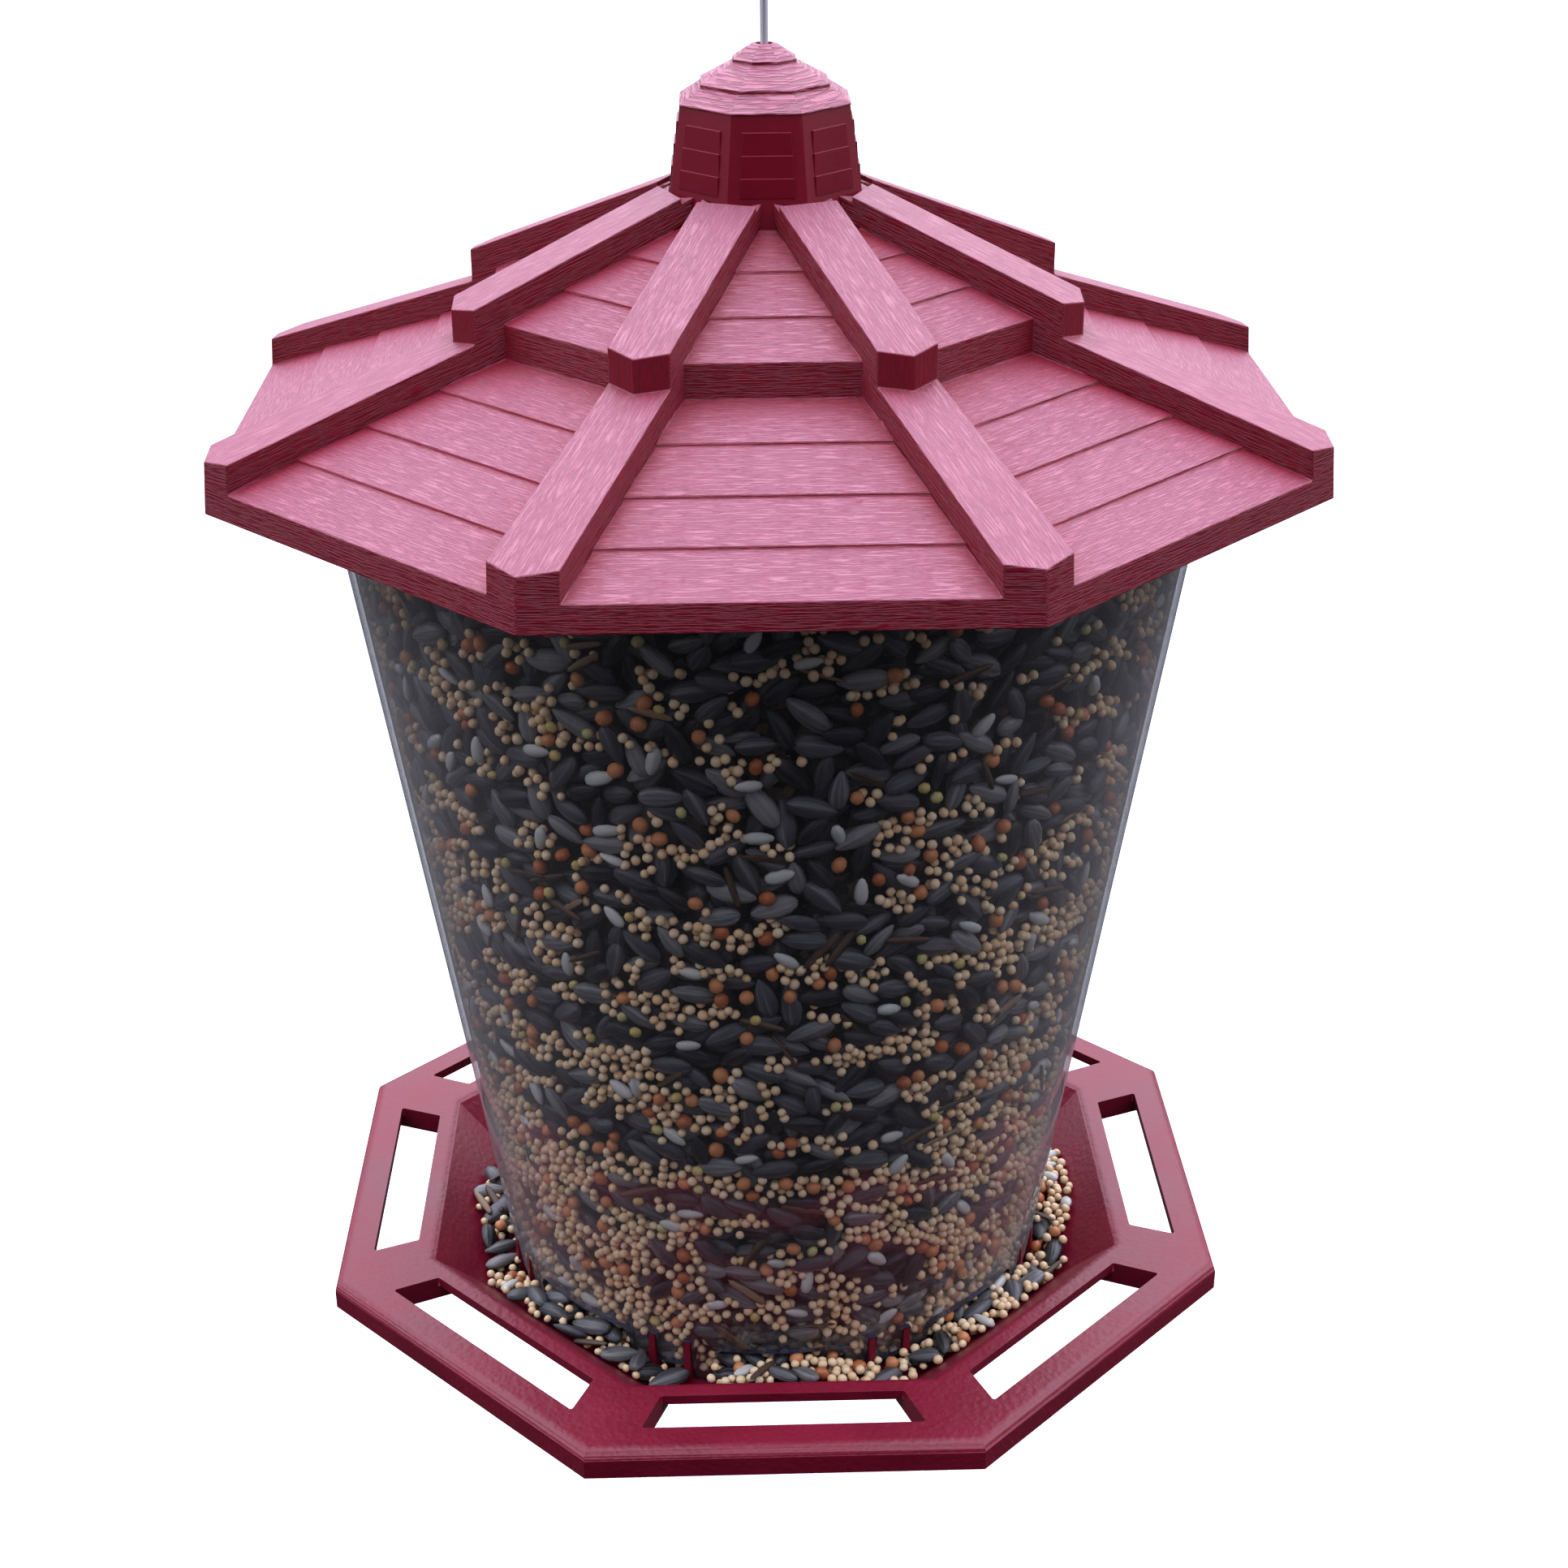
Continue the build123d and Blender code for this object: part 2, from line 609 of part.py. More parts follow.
with BuildPart() as cupola_cap:
    for tier in cap_tiers:
        add(tier)
    add(cap_spigot)
    add(cap_hollow, mode=Mode.SUBTRACT)
    with BuildSketch(Plane.XY.offset(CAP_SPIGOT_FOOT)):
        Circle(CAP_BOSS_RADIUS)
    extrude(amount=CAP_HOLLOW_TOP - CAP_SPIGOT_FOOT)
    with BuildSketch(Plane.XY.offset(CAP_SPIGOT_FOOT)):
        Circle(BUSH_RADIUS + GAP)
    extrude(amount=BUSH_TOP + GAP - CAP_SPIGOT_FOOT, mode=Mode.SUBTRACT)
    with BuildSketch(Plane.XY.offset(CAP_SPIGOT_FOOT)):
        Circle(CAP_BORE)
    extrude(amount=CUT_REACH, mode=Mode.SUBTRACT)

# ---- guide bush ------------------------------------------------------------------------------------

bush_bore = WIRE_RADIUS + GAP
guide_bush_solid = turned(
    (bush_bore, BUSH_FOOT),
    (BUSH_FLANGE_RADIUS, BUSH_FOOT),
    (BUSH_FLANGE_RADIUS, BUSH_FOOT + BUSH_FLANGE),
    (BUSH_RADIUS, BUSH_FOOT + BUSH_FLANGE),
    (BUSH_RADIUS, BUSH_TOP),
    (bush_bore, BUSH_TOP),
)
with BuildPart() as guide_bush:
    add(guide_bush_solid)

# ---- hanger wire -----------------------------------------------------------------------------------

# the straight part of each side of the eye, which makes its top round meet both sides
lean = math.radians(EYE_LEAN)
bend_side = EYE_BEND * (1 - math.cos(lean))
eye_flank = (EYE_RADIUS * math.cos(lean) - TAIL_SPACING / 2 - bend_side) / math.sin(lean)

with BuildPart() as hanger_wire:
    with BuildLine(Plane.XZ) as wire_path:
        stem = Line((0, WIRE_FOOT), (0, EYE_NECK))
        out_bend = JernArc(stem @ 1, stem % 1, EYE_BEND, EYE_LEAN)
        out_flank = PolarLine(out_bend @ 1, eye_flank, direction=out_bend % 1)
        eye_top = JernArc(out_flank @ 1, out_flank % 1, EYE_RADIUS, -(180 + 2 * EYE_LEAN))
        in_flank = PolarLine(eye_top @ 1, eye_flank, direction=eye_top % 1)
        in_bend = JernArc(in_flank @ 1, in_flank % 1, EYE_BEND, EYE_LEAN)
        tail = PolarLine(in_bend @ 1, TAIL_LENGTH, direction=in_bend % 1)
    with BuildSketch(Plane.XY.offset(WIRE_FOOT)):
        Circle(WIRE_RADIUS)
    sweep(path=wire_path.line)

# ---- eye ferrule -----------------------------------------------------------------------------------

with BuildPart() as eye_ferrule:
    with BuildSketch(Plane.XY.offset(EYE_NECK - FERRULE_LENGTH - FERRULE_WALL)):
        with Locations((TAIL_SPACING / 2, 0)):
            SlotCenterToCenter(TAIL_SPACING, (WIRE_RADIUS + FERRULE_WALL) * 2)
        with Locations((0, 0), (TAIL_SPACING, 0)):
            Circle(WIRE_RADIUS, mode=Mode.SUBTRACT)
    extrude(amount=FERRULE_LENGTH)
    ferrule_ends = eye_ferrule.faces().filter_by(Axis.Z)
    end_edges = [edge for face in ferrule_ends for edge in face.outer_wire().edges()]
    chamfer(end_edges, length=FERRULE_CHAMFER)

# ---- threaded stud ---------------------------------------------------------------------------------

shoulder_top = DOME_TOP + STUD_SHOULDER
stud_solid = turned(
    (0, STUD_FOOT),
    (STUD_RADIUS, STUD_FOOT),
    (STUD_RADIUS, DOME_TOP),
    (STUD_SHOULDER_RADIUS, DOME_TOP),
    (STUD_SHOULDER_RADIUS, shoulder_top),
    (STUD_SLEEVE_RADIUS, shoulder_top),
    (STUD_SLEEVE_RADIUS, STUD_SLEEVE_TOP),
    (WIRE_RADIUS, STUD_SLEEVE_TOP),
    (WIRE_RADIUS, WIRE_FOOT),
    (0, WIRE_FOOT),
)
with BuildPart() as threaded_stud:
    add(stud_solid)

# ---- washers ---------------------------------------------------------------------------------------

with BuildPart() as flat_washer:
    with BuildSketch(Plane.XY.offset(LOCK_TOP)):
        Circle(WASHER_RADIUS)
        Circle(STUD_HOLE, mode=Mode.SUBTRACT)
    extrude(amount=WASHER)

with BuildPart() as lock_washer:
    with BuildSketch(Plane.XY.offset(LOCK_TOP - WASHER)):
        Circle(LOCK_RADIUS)
        Circle(STUD_HOLE, mode=Mode.SUBTRACT)
        with Locations(((STUD_HOLE + LOCK_RADIUS) / 2, 0)):
            Rectangle(LOCK_RADIUS, LOCK_SPLIT, rotation=LOCK_SLANT, mode=Mode.SUBTRACT)
    extrude(amount=WASHER)

# ---- wing nut --------------------------------------------------------------------------------------

nut_foot = NUT_TOP - NUT_HUB
with BuildPart() as wing:
    with BuildSketch(Plane.XZ):
        Polygon(
            (NUT_HUB_FOOT_RADIUS - WING, NUT_TOP - WING),
            (NUT_HUB_FOOT_RADIUS - WING, nut_foot),
            (WING_REACH - WING_ROUND * 2, nut_foot - WING_DROP),
            (WING_REACH, nut_foot - WING_DROP),
            (WING_REACH, nut_foot),
            align=None,
        )
        fillet(vertices().group_by(Axis.X)[-1], radius=WING_ROUND)
    extrude(amount=WING / 2, both=True)

nut_hub = turned(
    (0, nut_foot), (NUT_HUB_FOOT_RADIUS, nut_foot), (NUT_HUB_RADIUS, NUT_TOP), (0, NUT_TOP)
)
with BuildPart() as wing_nut:
    add(nut_hub)
    with PolarLocations(0, 2):
        add(wing.part)
    with Locations((0, 0, NUT_TOP)):
        Hole(NUT_BORE, depth=NUT_HUB * 2)

# ---- write every piece -----------------------------------------------------------------------------

pieces = {
    "tray": tray,
    "jar": jar,
    "seed_cone": seed_cone,
    "roof": roof,
    "cupola": cupola,
    "cupola_cap": cupola_cap,
    "guide_bush": guide_bush,
    "hanger_wire": hanger_wire,
    "eye_ferrule": eye_ferrule,
    "threaded_stud": threaded_stud,
    "flat_washer": flat_washer,
    "lock_washer": lock_washer,
    "wing_nut": wing_nut,
}
os.makedirs("parts", exist_ok=True)
for name, piece in pieces.items():
    piece.part.label = name
    export_step(piece.part, f"parts/{name}.step")
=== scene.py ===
import math
import random

import bmesh
import bpy
import numpy as np
from mathutils import Matrix, Vector, noise


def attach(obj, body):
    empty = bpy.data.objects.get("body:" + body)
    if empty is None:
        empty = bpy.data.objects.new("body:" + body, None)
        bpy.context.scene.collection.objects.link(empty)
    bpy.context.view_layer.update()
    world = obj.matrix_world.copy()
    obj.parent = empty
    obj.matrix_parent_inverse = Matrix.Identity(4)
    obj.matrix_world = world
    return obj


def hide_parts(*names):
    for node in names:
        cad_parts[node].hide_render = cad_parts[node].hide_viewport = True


# Hanging seed feeder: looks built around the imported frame. Sizes are in millimetres, as in the CAD
# part, and MM turns them into the metres of the scene. +Z runs up the hanger wire, -Y is the front.

MM = 0.001
SIDES = 8
STEP = math.tau / SIDES
SEED = 20

# ---- sizes repeated from the CAD part ---------------------------------

FLOOR_TOP = 2.5
RIM_TOP = 20.2
SLOT_NEAR = 98.2  # apothem of a perch slot's inner edge
FLOOR_APOTHEM = 76.1  # of the dish's flat floor, whose wall rises at 45 degrees
JAR_FOOT_RADIUS = 73.95
JAR_TAPER = 0.1497
JAR_WALL = 1.6
PORT_HALF_WIDTH = 17.2
PORT_TOP = 14.5
RIB_HALF = 8.3  # of a lower batten
UPPER_FOOT = 268.9
LOWER_HIP_SLOPE = 0.340
UPPER_HIP_SLOPE = 0.400
WIRE_RADIUS = 0.95
EYE_NECK = 448.0
EYE_RADIUS = 9.0
EYE_LEAN = math.radians(35.0)
EYE_BEND = 8.0
TAIL_SPACING = 2.2
TAIL_LENGTH = 12.5
STUD_RADIUS = 2.5
STUD_FOOT = 4.0
DOME_TOP = 20.0
STUD_SHOULDER_RADIUS = 4.0
STUD_SHOULDER = 2.2
STUD_SLEEVE_RADIUS = 2.2
STUD_SLEEVE_TOP = 38.0

# ---- sizes of the looks -----------------------------------------------

WELD = 0.001  # corners nearer than this are one
FLAT_ANGLE = math.radians(0.5)  # faces that meet at less than this are one flat face
EASE_ANGLE = math.radians(25.0)  # edges sharper than this are eased
LAP_RISER = 1.2  # a face narrower than this is the riser of a lap
LAP_EASE = 0.08  # rounding of a lap's edge
SOFT_EASE = 0.5  # rounding of the perch slots
THREAD_PITCH = 0.8
THREAD_DEPTH = 0.25
WIRE_SPLIT = 236.0  # the wire's foot, which the seed hides, is a piece of its own
BED_DEPTH = 7.0  # from the jar's inner face to the dark bed behind the loose seed
BED_WALL = 3.4
DISH_REACH = 96.0  # how far out the spilled seed may lie
HEAP_EDGE = 236.0  # top of the seed at the jar's wall
HEAP_PEAK = 245.0
BARE_TURN = -1.86  # where the floor of the dish shows, with next to no seed on it
BARE_WIDTH = 0.14
DARK_HEAPS = ((-3.14, 0.28, 1.2), (-2.72, 0.12, -1.0), (-2.3, 0.32, 1.2))  # turn, width, share
SPILL_SHADE = 0.62  # how much darker the seed out in the dish is painted: a painted shade for the roof over it
ATLAS = 5  # cells along each side of the seeds' shared map
CELL_INSET = 0.06  # margin inside a cell
QUARTER_TURN = math.radians(19.5)  # between a shutter's side and the corner of the cupola
SHEEN_SHADE_REACH = 0.022  # metres within which a batten keeps the painted sheen off the planks: a painted shade

UP = Vector((0.0, 0.0, 1.0))

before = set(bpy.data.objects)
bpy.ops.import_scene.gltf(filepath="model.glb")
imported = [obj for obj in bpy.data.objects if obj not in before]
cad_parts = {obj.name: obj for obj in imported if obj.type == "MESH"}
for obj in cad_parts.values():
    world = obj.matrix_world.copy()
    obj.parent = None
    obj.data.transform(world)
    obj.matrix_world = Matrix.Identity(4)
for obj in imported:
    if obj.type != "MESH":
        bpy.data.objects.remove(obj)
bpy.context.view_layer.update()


def jar_radius(height):
    """Outer radius of the jar."""
    return JAR_FOOT_RADIUS + JAR_TAPER * (height - FLOOR_TOP)


def outward_at(turn):
    """The level direction that faces outward at this turn about the wire."""
    return Vector((math.cos(turn), math.sin(turn), 0.0))


def turned(first, second, angle):
    """Two square directions turned together by an angle, the first away from the second."""
    sine, cosine = math.sin(angle), math.cos(angle)
    return first * cosine - second * sine, second * cosine + first * sine


def linked(name, data):
    """A new object in the scene."""
    thing = bpy.data.objects.new(name, data)
    bpy.context.scene.collection.objects.link(thing)
    return thing


def shaded(colour, factor):
    """A colour made darker or lighter."""
    return tuple(factor * c for c in colour)


# ---- materials --------------------------------------------------------


class Net:
    """A material, or the world, with a short way to write its nodes."""

    def __init__(self, name, world=False):
        self.owner = (bpy.data.worlds if world else bpy.data.materials).new(name)
        self.owner.use_nodes = True
        self.tree = self.owner.node_tree
        self.tree.nodes.clear()

    def add(self, kind, inputs=(), **settings):
        """A new node. inputs holds (socket, value or other node's output) pairs."""
        node = self.tree.nodes.new("ShaderNode" + kind)
        for key, value in settings.items():
            setattr(node, key, value)
        for socket, value in inputs:
            if isinstance(value, bpy.types.NodeSocket):
                self.tree.links.new(value, node.inputs[socket])
            else:
                node.inputs[socket].default_value = value
        return node

    def finish(self, shader):
        """The material, with this shader at its surface."""
        self.add("OutputMaterial", [("Surface", shader)])
        return self.owner

    def uv(self, layer, scale):
        """Coordinates of a UV map, in metres, multiplied by scale."""
        source = self.add("UVMap", uv_map=layer)
        return self.stretch(source.outputs["UV"], scale)

    def place(self, scale=(1.0, 1.0, 1.0)):
        """Coordinates in the object's own space, multiplied by scale."""
        return self.stretch(self.add("TexCoord").outputs["Object"], scale)

    def stretch(self, vector, scale):
        """A vector times a scale for each axis."""
        inputs = [(0, vector), (1, scale)]
        return self.add("VectorMath", inputs, operation="MULTIPLY").outputs["Vector"]

    def noise(self, vector, detail=3.0, roughness=0.5, distortion=0.0):
        """Grey noise about one unit across."""
        settings = [("Vector", vector), ("Scale", 1.0), ("Detail", detail)]
        settings += [("Roughness", roughness), ("Distortion", distortion)]
        return self.add("TexNoise", settings).outputs["Fac"]

    def ramp(self, fac, *stops):
        """A colour ramp through (position, colour) stops."""
        node = self.add("ValToRGB", [("Fac", fac)])
        elements = node.color_ramp.elements
        while len(elements) < len(stops):
            elements.new(0.5)
        for element, (position, colour) in zip(elements, stops):
            element.position = position
            element.color = (*colour, 1.0)
        return node.outputs["Color"]

    def span(self, fac, low, high, start=0.0, end=1.0):
        """A grey value mapped from start..end to low..high."""
        inputs = [("Value", fac), ("From Min", start), ("From Max", end)]
        inputs += [("To Min", low), ("To Max", high)]
        return self.add("MapRange", inputs).outputs["Result"]

    def sum(self, first, second, weight=1.0):
        """first + second * weight."""
        node = self.add("Math", [(0, second), (1, weight), (2, first)], operation="MULTIPLY_ADD")
        return node.outputs["Value"]

    def product(self, first, second):
        """first * second."""
        node = self.add("Math", [(0, first), (1, second)], operation="MULTIPLY")
        return node.outputs["Value"]

    def power(self, value, exponent):
        """value to a power."""
        node = self.add("Math", [(0, value), (1, exponent)], operation="POWER")
        return node.outputs["Value"]

    def mix(self, fac, first, second):
        """A shader between two."""
        return self.add("MixShader", [("Fac", fac), (1, first), (2, second)]).outputs["Shader"]

    def bump(self, height, distance, strength=1.0):
        """A normal bent by a height of up to this many metres."""
        inputs = [("Height", height), ("Distance", distance), ("Strength", strength)]
        return self.add("Bump", inputs).outputs["Normal"]

    def principled(self, tone, roughness, normal=None, specular=0.5, metallic=0.0):
        """The output of a Principled shader."""
        inputs = [("Base Color", tone), ("Roughness", roughness)]
        inputs += [("Specular IOR Level", specular), ("Metallic", metallic)]
        if normal is not None:
            inputs.append(("Normal", normal))
        return self.add("BsdfPrincipled", inputs).outputs["BSDF"]


def toned(net, raised, base, cut):
    """A colour from the duller ground of the grain to its rubbed, paler crest."""
    crest = (base[0] * 1.08, base[1] * 1.3, base[2] * 1.2)
    return net.ramp(raised, (0.0, shaded(base, cut)), (0.5, base), (1.0, crest))


def grained_plastic(name, base, sheen_tone, relief, along=150.0, across=2700.0, wander=0.0003, cut=0.78):
    """Moulded wood grain along U of the Grain map, with a painted sheen where it looks up, open to the sky.
    """
    net = Net(name)
    wave = net.noise(net.uv("Grain", (26.0, 45.0, 0.0)), detail=2.0)
    source = net.add("UVMap", uv_map="Grain").outputs["UV"]
    lift = net.add("CombineXYZ", [("Y", net.span(wave, -wander, wander, 0.2, 0.8))])
    bent = net.add("VectorMath", [(0, source), (1, lift.outputs["Vector"])], operation="ADD")
    bent = bent.outputs["Vector"]
    dashes = net.noise(net.stretch(bent, (along, across, 0.0)), detail=2.0, roughness=0.65)
    veins = net.noise(net.stretch(bent, (along * 0.5, across * 0.6, 0.0)), detail=2.0)
    bands = net.noise(net.stretch(bent, (along * 0.12, across * 0.12, 0.0)), detail=2.0)
    height = net.sum(dashes, net.sum(veins, bands, 0.2), 0.35)
    raised = net.span(height, 0.0, 1.0, 0.63, 0.79)
    # Painted sheen: faces that look up get the paler tone, less where battens hide the sky (painted shade).
    normal = net.add("NewGeometry").outputs["Normal"]
    upward = net.add("SeparateXYZ", [("Vector", normal)]).outputs["Z"]
    corners = net.add("AmbientOcclusion", [("Distance", SHEEN_SHADE_REACH)], samples=8, only_local=True)
    sky_seen = net.span(corners.outputs["AO"], 0.0, 1.0, 0.58, 0.97)
    sheen_mask = net.product(net.span(upward, 0.0, 1.0, 0.25, 0.8), sky_seen)
    shades = [(0, sheen_mask), (6, toned(net, raised, base, cut)), (7, toned(net, raised, sheen_tone, cut))]
    tone = net.add("Mix", shades, data_type="RGBA").outputs[2]
    rough = net.span(raised, 0.54, 0.44)
    return net.finish(net.principled(tone, rough, net.bump(raised, relief), 0.40))


def stippled_plastic(name, base):
    """Crimson plastic with a fine leather stipple."""
    net = Net(name)
    place = net.place()
    cells = net.add(
        "TexVoronoi", [("Vector", place), ("Scale", 700.0), ("Randomness", 1.0)], feature="SMOOTH_F1"
    ).outputs["Distance"]
    fine = net.noise(net.stretch(place, (1900.0,) * 3), detail=2.0)
    cloud = net.noise(net.stretch(place, (42.0,) * 3), detail=3.0)
    height = net.sum(net.span(cells, 1.0, 0.0, 0.05, 0.75), fine, 0.55)
    tone = net.ramp(cloud, (0.3, shaded(base, 0.86)), (0.7, shaded(base, 1.12)))
    rough = net.sum(net.span(cloud, 0.38, 0.47, 0.3, 0.7), fine, 0.05)
    return net.finish(net.principled(tone, rough, net.bump(height, 0.0001), 0.36))


def smooth_plastic(name, base, roughness, peel=0.00003, specular=0.5):
    """Plain moulded plastic with a faint orange peel and flow clouds."""
    net = Net(name)
    place = net.place()
    fine = net.noise(net.stretch(place, (900.0,) * 3), detail=3.0)
    cloud = net.noise(net.stretch(place, (60.0, 60.0, 25.0)), detail=3.0, distortion=0.6)
    tone = net.ramp(cloud, (0.3, shaded(base, 0.9)), (0.7, shaded(base, 1.1)))
    rough = net.span(cloud, roughness - 0.04, roughness + 0.05, 0.3, 0.7)
    return net.finish(net.principled(tone, rough, net.bump(fine, peel), specular))


def metal(name, base, roughness, scale, relief=0.00002):
    """Bare metal with fine marks. scale gives the marks' frequency along each axis."""
    net = Net(name)
    marks = net.noise(net.place(scale), detail=4.0)
    stain = net.noise(net.place((160.0, 160.0, 60.0)), detail=3.0)
    tone = net.ramp(stain, (0.3, shaded(base, 0.8)), (0.7, base))
    rough = net.span(marks, roughness - 0.07, roughness + 0.1, 0.3, 0.7)
    return net.finish(net.principled(tone, rough, net.bump(marks, relief), metallic=1.0))


def clear_plastic():
    """Thin clear wall: see-through, mirror-like at its skin, hazier in upright streaks and edge-on."""
    net = Net("clear_plastic")
    place = net.place()
    streaks = net.noise(net.stretch(place, (210.0, 210.0, 8.0)), detail=4.0, roughness=0.6)
    ripple = net.noise(net.stretch(place, (28.0, 28.0, 7.0)), detail=2.0)
    bent = net.bump(ripple, 0.0003, 0.5)
    facing = net.add("LayerWeight", [("Blend", 0.5), ("Normal", bent)]).outputs["Facing"]
    edge_on, graze = net.power(facing, 3.0), net.power(facing, 5.0)
    clear = net.add("BsdfTransparent", [("Color", (0.985, 0.985, 0.988, 1.0))]).outputs["BSDF"]
    haze = net.add("BsdfDiffuse", [("Color", (0.21, 0.185, 0.18, 1.0))]).outputs["BSDF"]
    cloudy = net.sum(net.span(streaks, 0.0, 0.07, 0.45, 0.8), edge_on, 0.9)
    polish = net.span(streaks, 0.03, 0.12, 0.4, 0.75)
    white = ("Color", (1.0, 1.0, 1.0, 1.0))
    gloss = net.add("BsdfGlossy", [white, ("Roughness", polish), ("Normal", bent)]).outputs["BSDF"]
    mirror = net.span(graze, 0.045, 0.5)
    return net.finish(net.mix(mirror, net.mix(cloudy, clear, haze), gloss))


def cut_edge_plastic():
    """The jar's cut edges, where the wall gathers a bluish light."""
    net = Net("clear_plastic_edge")
    cloud = net.noise(net.place((160.0, 160.0, 220.0)), detail=3.0)
    tone = net.ramp(cloud, (0.35, (0.007, 0.008, 0.018)), (0.7, (0.034, 0.042, 0.090)))
    clear = net.add("BsdfTransparent", [("Color", (0.6, 0.66, 0.85, 1.0))]).outputs["BSDF"]
    solid = net.principled(tone, 0.16, net.bump(cloud, 0.00008))
    return net.finish(net.mix(0.93, clear, solid))


def seed_skin(name, tones, streak, roughness, relief):
    """A seed's skin on the shared map. tones run from dark to pale; streak is how fine the grain is."""
    net = Net(name)
    uv = net.uv("OFBake", (ATLAS, ATLAS, 0.0))
    cell = net.add("VectorMath", [(0, uv)], operation="FLOOR").outputs["Vector"]
    pick = net.add("TexWhiteNoise", [("Vector", cell)], noise_dimensions="2D").outputs["Value"]
    grain = net.noise(net.stretch(uv, (*streak, 0.0)), detail=4.0, roughness=0.6)
    mix = net.sum(net.span(pick, -0.3, 0.3), grain, 1.0)
    count = len(tones) - 1
    tone = net.ramp(mix, *((0.2 + 0.6 * i / count, tones[i]) for i in range(count + 1)))
    rough = net.span(grain, roughness - 0.08, roughness + 0.12, 0.3, 0.7)
    return net.finish(net.principled(tone, rough, net.bump(grain, relief), 0.4))


def bed_skin():
    """Loose seed too deep to tell apart."""
    net = Net("seed_bed")
    place = net.place()
    cells = net.add("TexVoronoi", [("Vector", place), ("Scale", 330.0)]).outputs["Color"]
    pick = net.add("SeparateColor", [("Color", cells)]).outputs["Red"]
    tone = net.ramp(
        pick, (0.0, (0.006, 0.006, 0.007)), (0.7, (0.02, 0.017, 0.015)), (0.95, (0.12, 0.075, 0.04))
    )
    lumps = net.noise(net.stretch(place, (400.0,) * 3), detail=3.0)
    return net.finish(net.principled(tone, 0.8, net.bump(lumps, 0.001)))


ROOF_RED = (0.180, 0.0012, 0.011)
# Paler tones painted where the roof and cap face the sky: a painted sheen.
SHEEN_RED = (0.220, 0.042, 0.072)
SHEEN_CAP = (0.250, 0.050, 0.085)
CUPOLA_RED = (0.145, 0.0010, 0.010)
TRAY_RED = (0.138, 0.0013, 0.0135)

roof_skin = grained_plastic("roof_grain", ROOF_RED, SHEEN_RED, 0.0001)
cap_skin = grained_plastic(
    "cap_grain", ROOF_RED, SHEEN_CAP, 0.00022, along=110.0, across=1250.0, wander=0.0009, cut=0.66
)
cupola_skin = smooth_plastic("cupola_satin", CUPOLA_RED, 0.36, specular=0.3)
tray_skin = stippled_plastic("tray_leather", TRAY_RED)
nylon_skin = smooth_plastic("natural_nylon", (0.62, 0.60, 0.54), 0.45)
wire_skin = metal("drawn_steel", (0.93, 0.95, 0.98), 0.48, (2600.0, 2600.0, 60.0))
zinc_skin = metal("bright_zinc", (0.66, 0.67, 0.68), 0.3, (700.0, 700.0, 700.0), 0.00003)
ferrule_skin = metal("crimped_aluminium", (0.72, 0.72, 0.73), 0.38, (500.0, 500.0, 900.0), 0.00006)
jar_skin = clear_plastic()
jar_edge_skin = cut_edge_plastic()


# ---- pieces made from the CAD solids ----------------------------------


def welded(node):
    """A bmesh of the node's mesh, with its corners joined and its flat faces made whole."""
    bm = bmesh.new()
    bm.from_mesh(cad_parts[node].data)
    bmesh.ops.remove_doubles(bm, verts=bm.verts, dist=WELD * MM)
    bmesh.ops.dissolve_limit(
        bm,
        angle_limit=FLAT_ANGLE,
        use_dissolve_boundaries=False,
        verts=bm.verts,
        edges=bm.edges,
        delimit={"NORMAL"},
    )
    return bm


def quartered(bm):
    """Cuts the mesh along two upright planes, so that no flat ring is one face shaped like a C."""
    for turn in (QUARTER_TURN, QUARTER_TURN + math.pi / 2.0):
        bmesh.ops.bisect_plane(
            bm,
            geom=bm.verts[:] + bm.edges[:] + bm.faces[:],
            dist=0.1 * WELD * MM,
            plane_co=(0.0, 0.0, 0.0),
            plane_no=(-math.sin(turn), math.cos(turn), 0.0),
        )
    return bm


def narrow(face):
    """True for the thin riser of a lap between two boards."""
    long = max(edge.calc_length() for edge in face.edges)
    return face.calc_area() < LAP_RISER * MM * long


def on_perch(edge):
    """True for an edge of the perch slots at the top of the tray's rim."""
    point = (edge.verts[0].co + edge.verts[1].co) / 2.0
    return point.z > (RIM_TOP - 0.3) * MM and math.hypot(point.x, point.y) > SLOT_NEAR * MM * 0.98


def eased(bm, width, soft=None, lap=LAP_EASE):
    """Rounds every sharp edge: thin risers only a little, the edges picked by soft more."""
    sharp = [edge for edge in bm.edges if edge.calc_face_angle(0.0) > EASE_ANGLE]
    groups = [([], width, 2), ([], min(width, lap), 2), ([], SOFT_EASE, 4)]
    for edge in sharp:
        if soft and soft(edge):
            groups[2][0].append(edge)
        elif any(narrow(face) for face in edge.link_faces):
            groups[1][0].append(edge)
        else:
            groups[0][0].append(edge)
    for edges, offset, parts in groups:
        edges = [edge for edge in edges if edge.is_valid]
        if edges:
            bmesh.ops.bevel(
                bm,
                geom=edges,
                offset=offset * MM,
                offset_type="OFFSET",
                segments=parts,
                profile=0.5,
                affect="EDGES",
                clamp_overlap=True,
                miter_outer="ARC",
            )
    return bm


def grain_map(bm, direction):
    """A UV map in metres. direction gives a face's grain, and a shift that sets it apart."""
    layer = bm.loops.layers.uv.new("Grain")
    for face in bm.faces:
        normal = face.normal
        grain, shift = direction(face.calc_center_median(), normal)
        grain = grain - normal * grain.dot(normal)
        if grain.length < 0.05:
            grain = normal.orthogonal()
        grain.normalize()
        side = normal.cross(grain)
        for loop in face.loops:
            point = loop.vert.co
            loop[layer].uv = (point.dot(grain) + shift, point.dot(side) + shift * 0.61)
    return bm


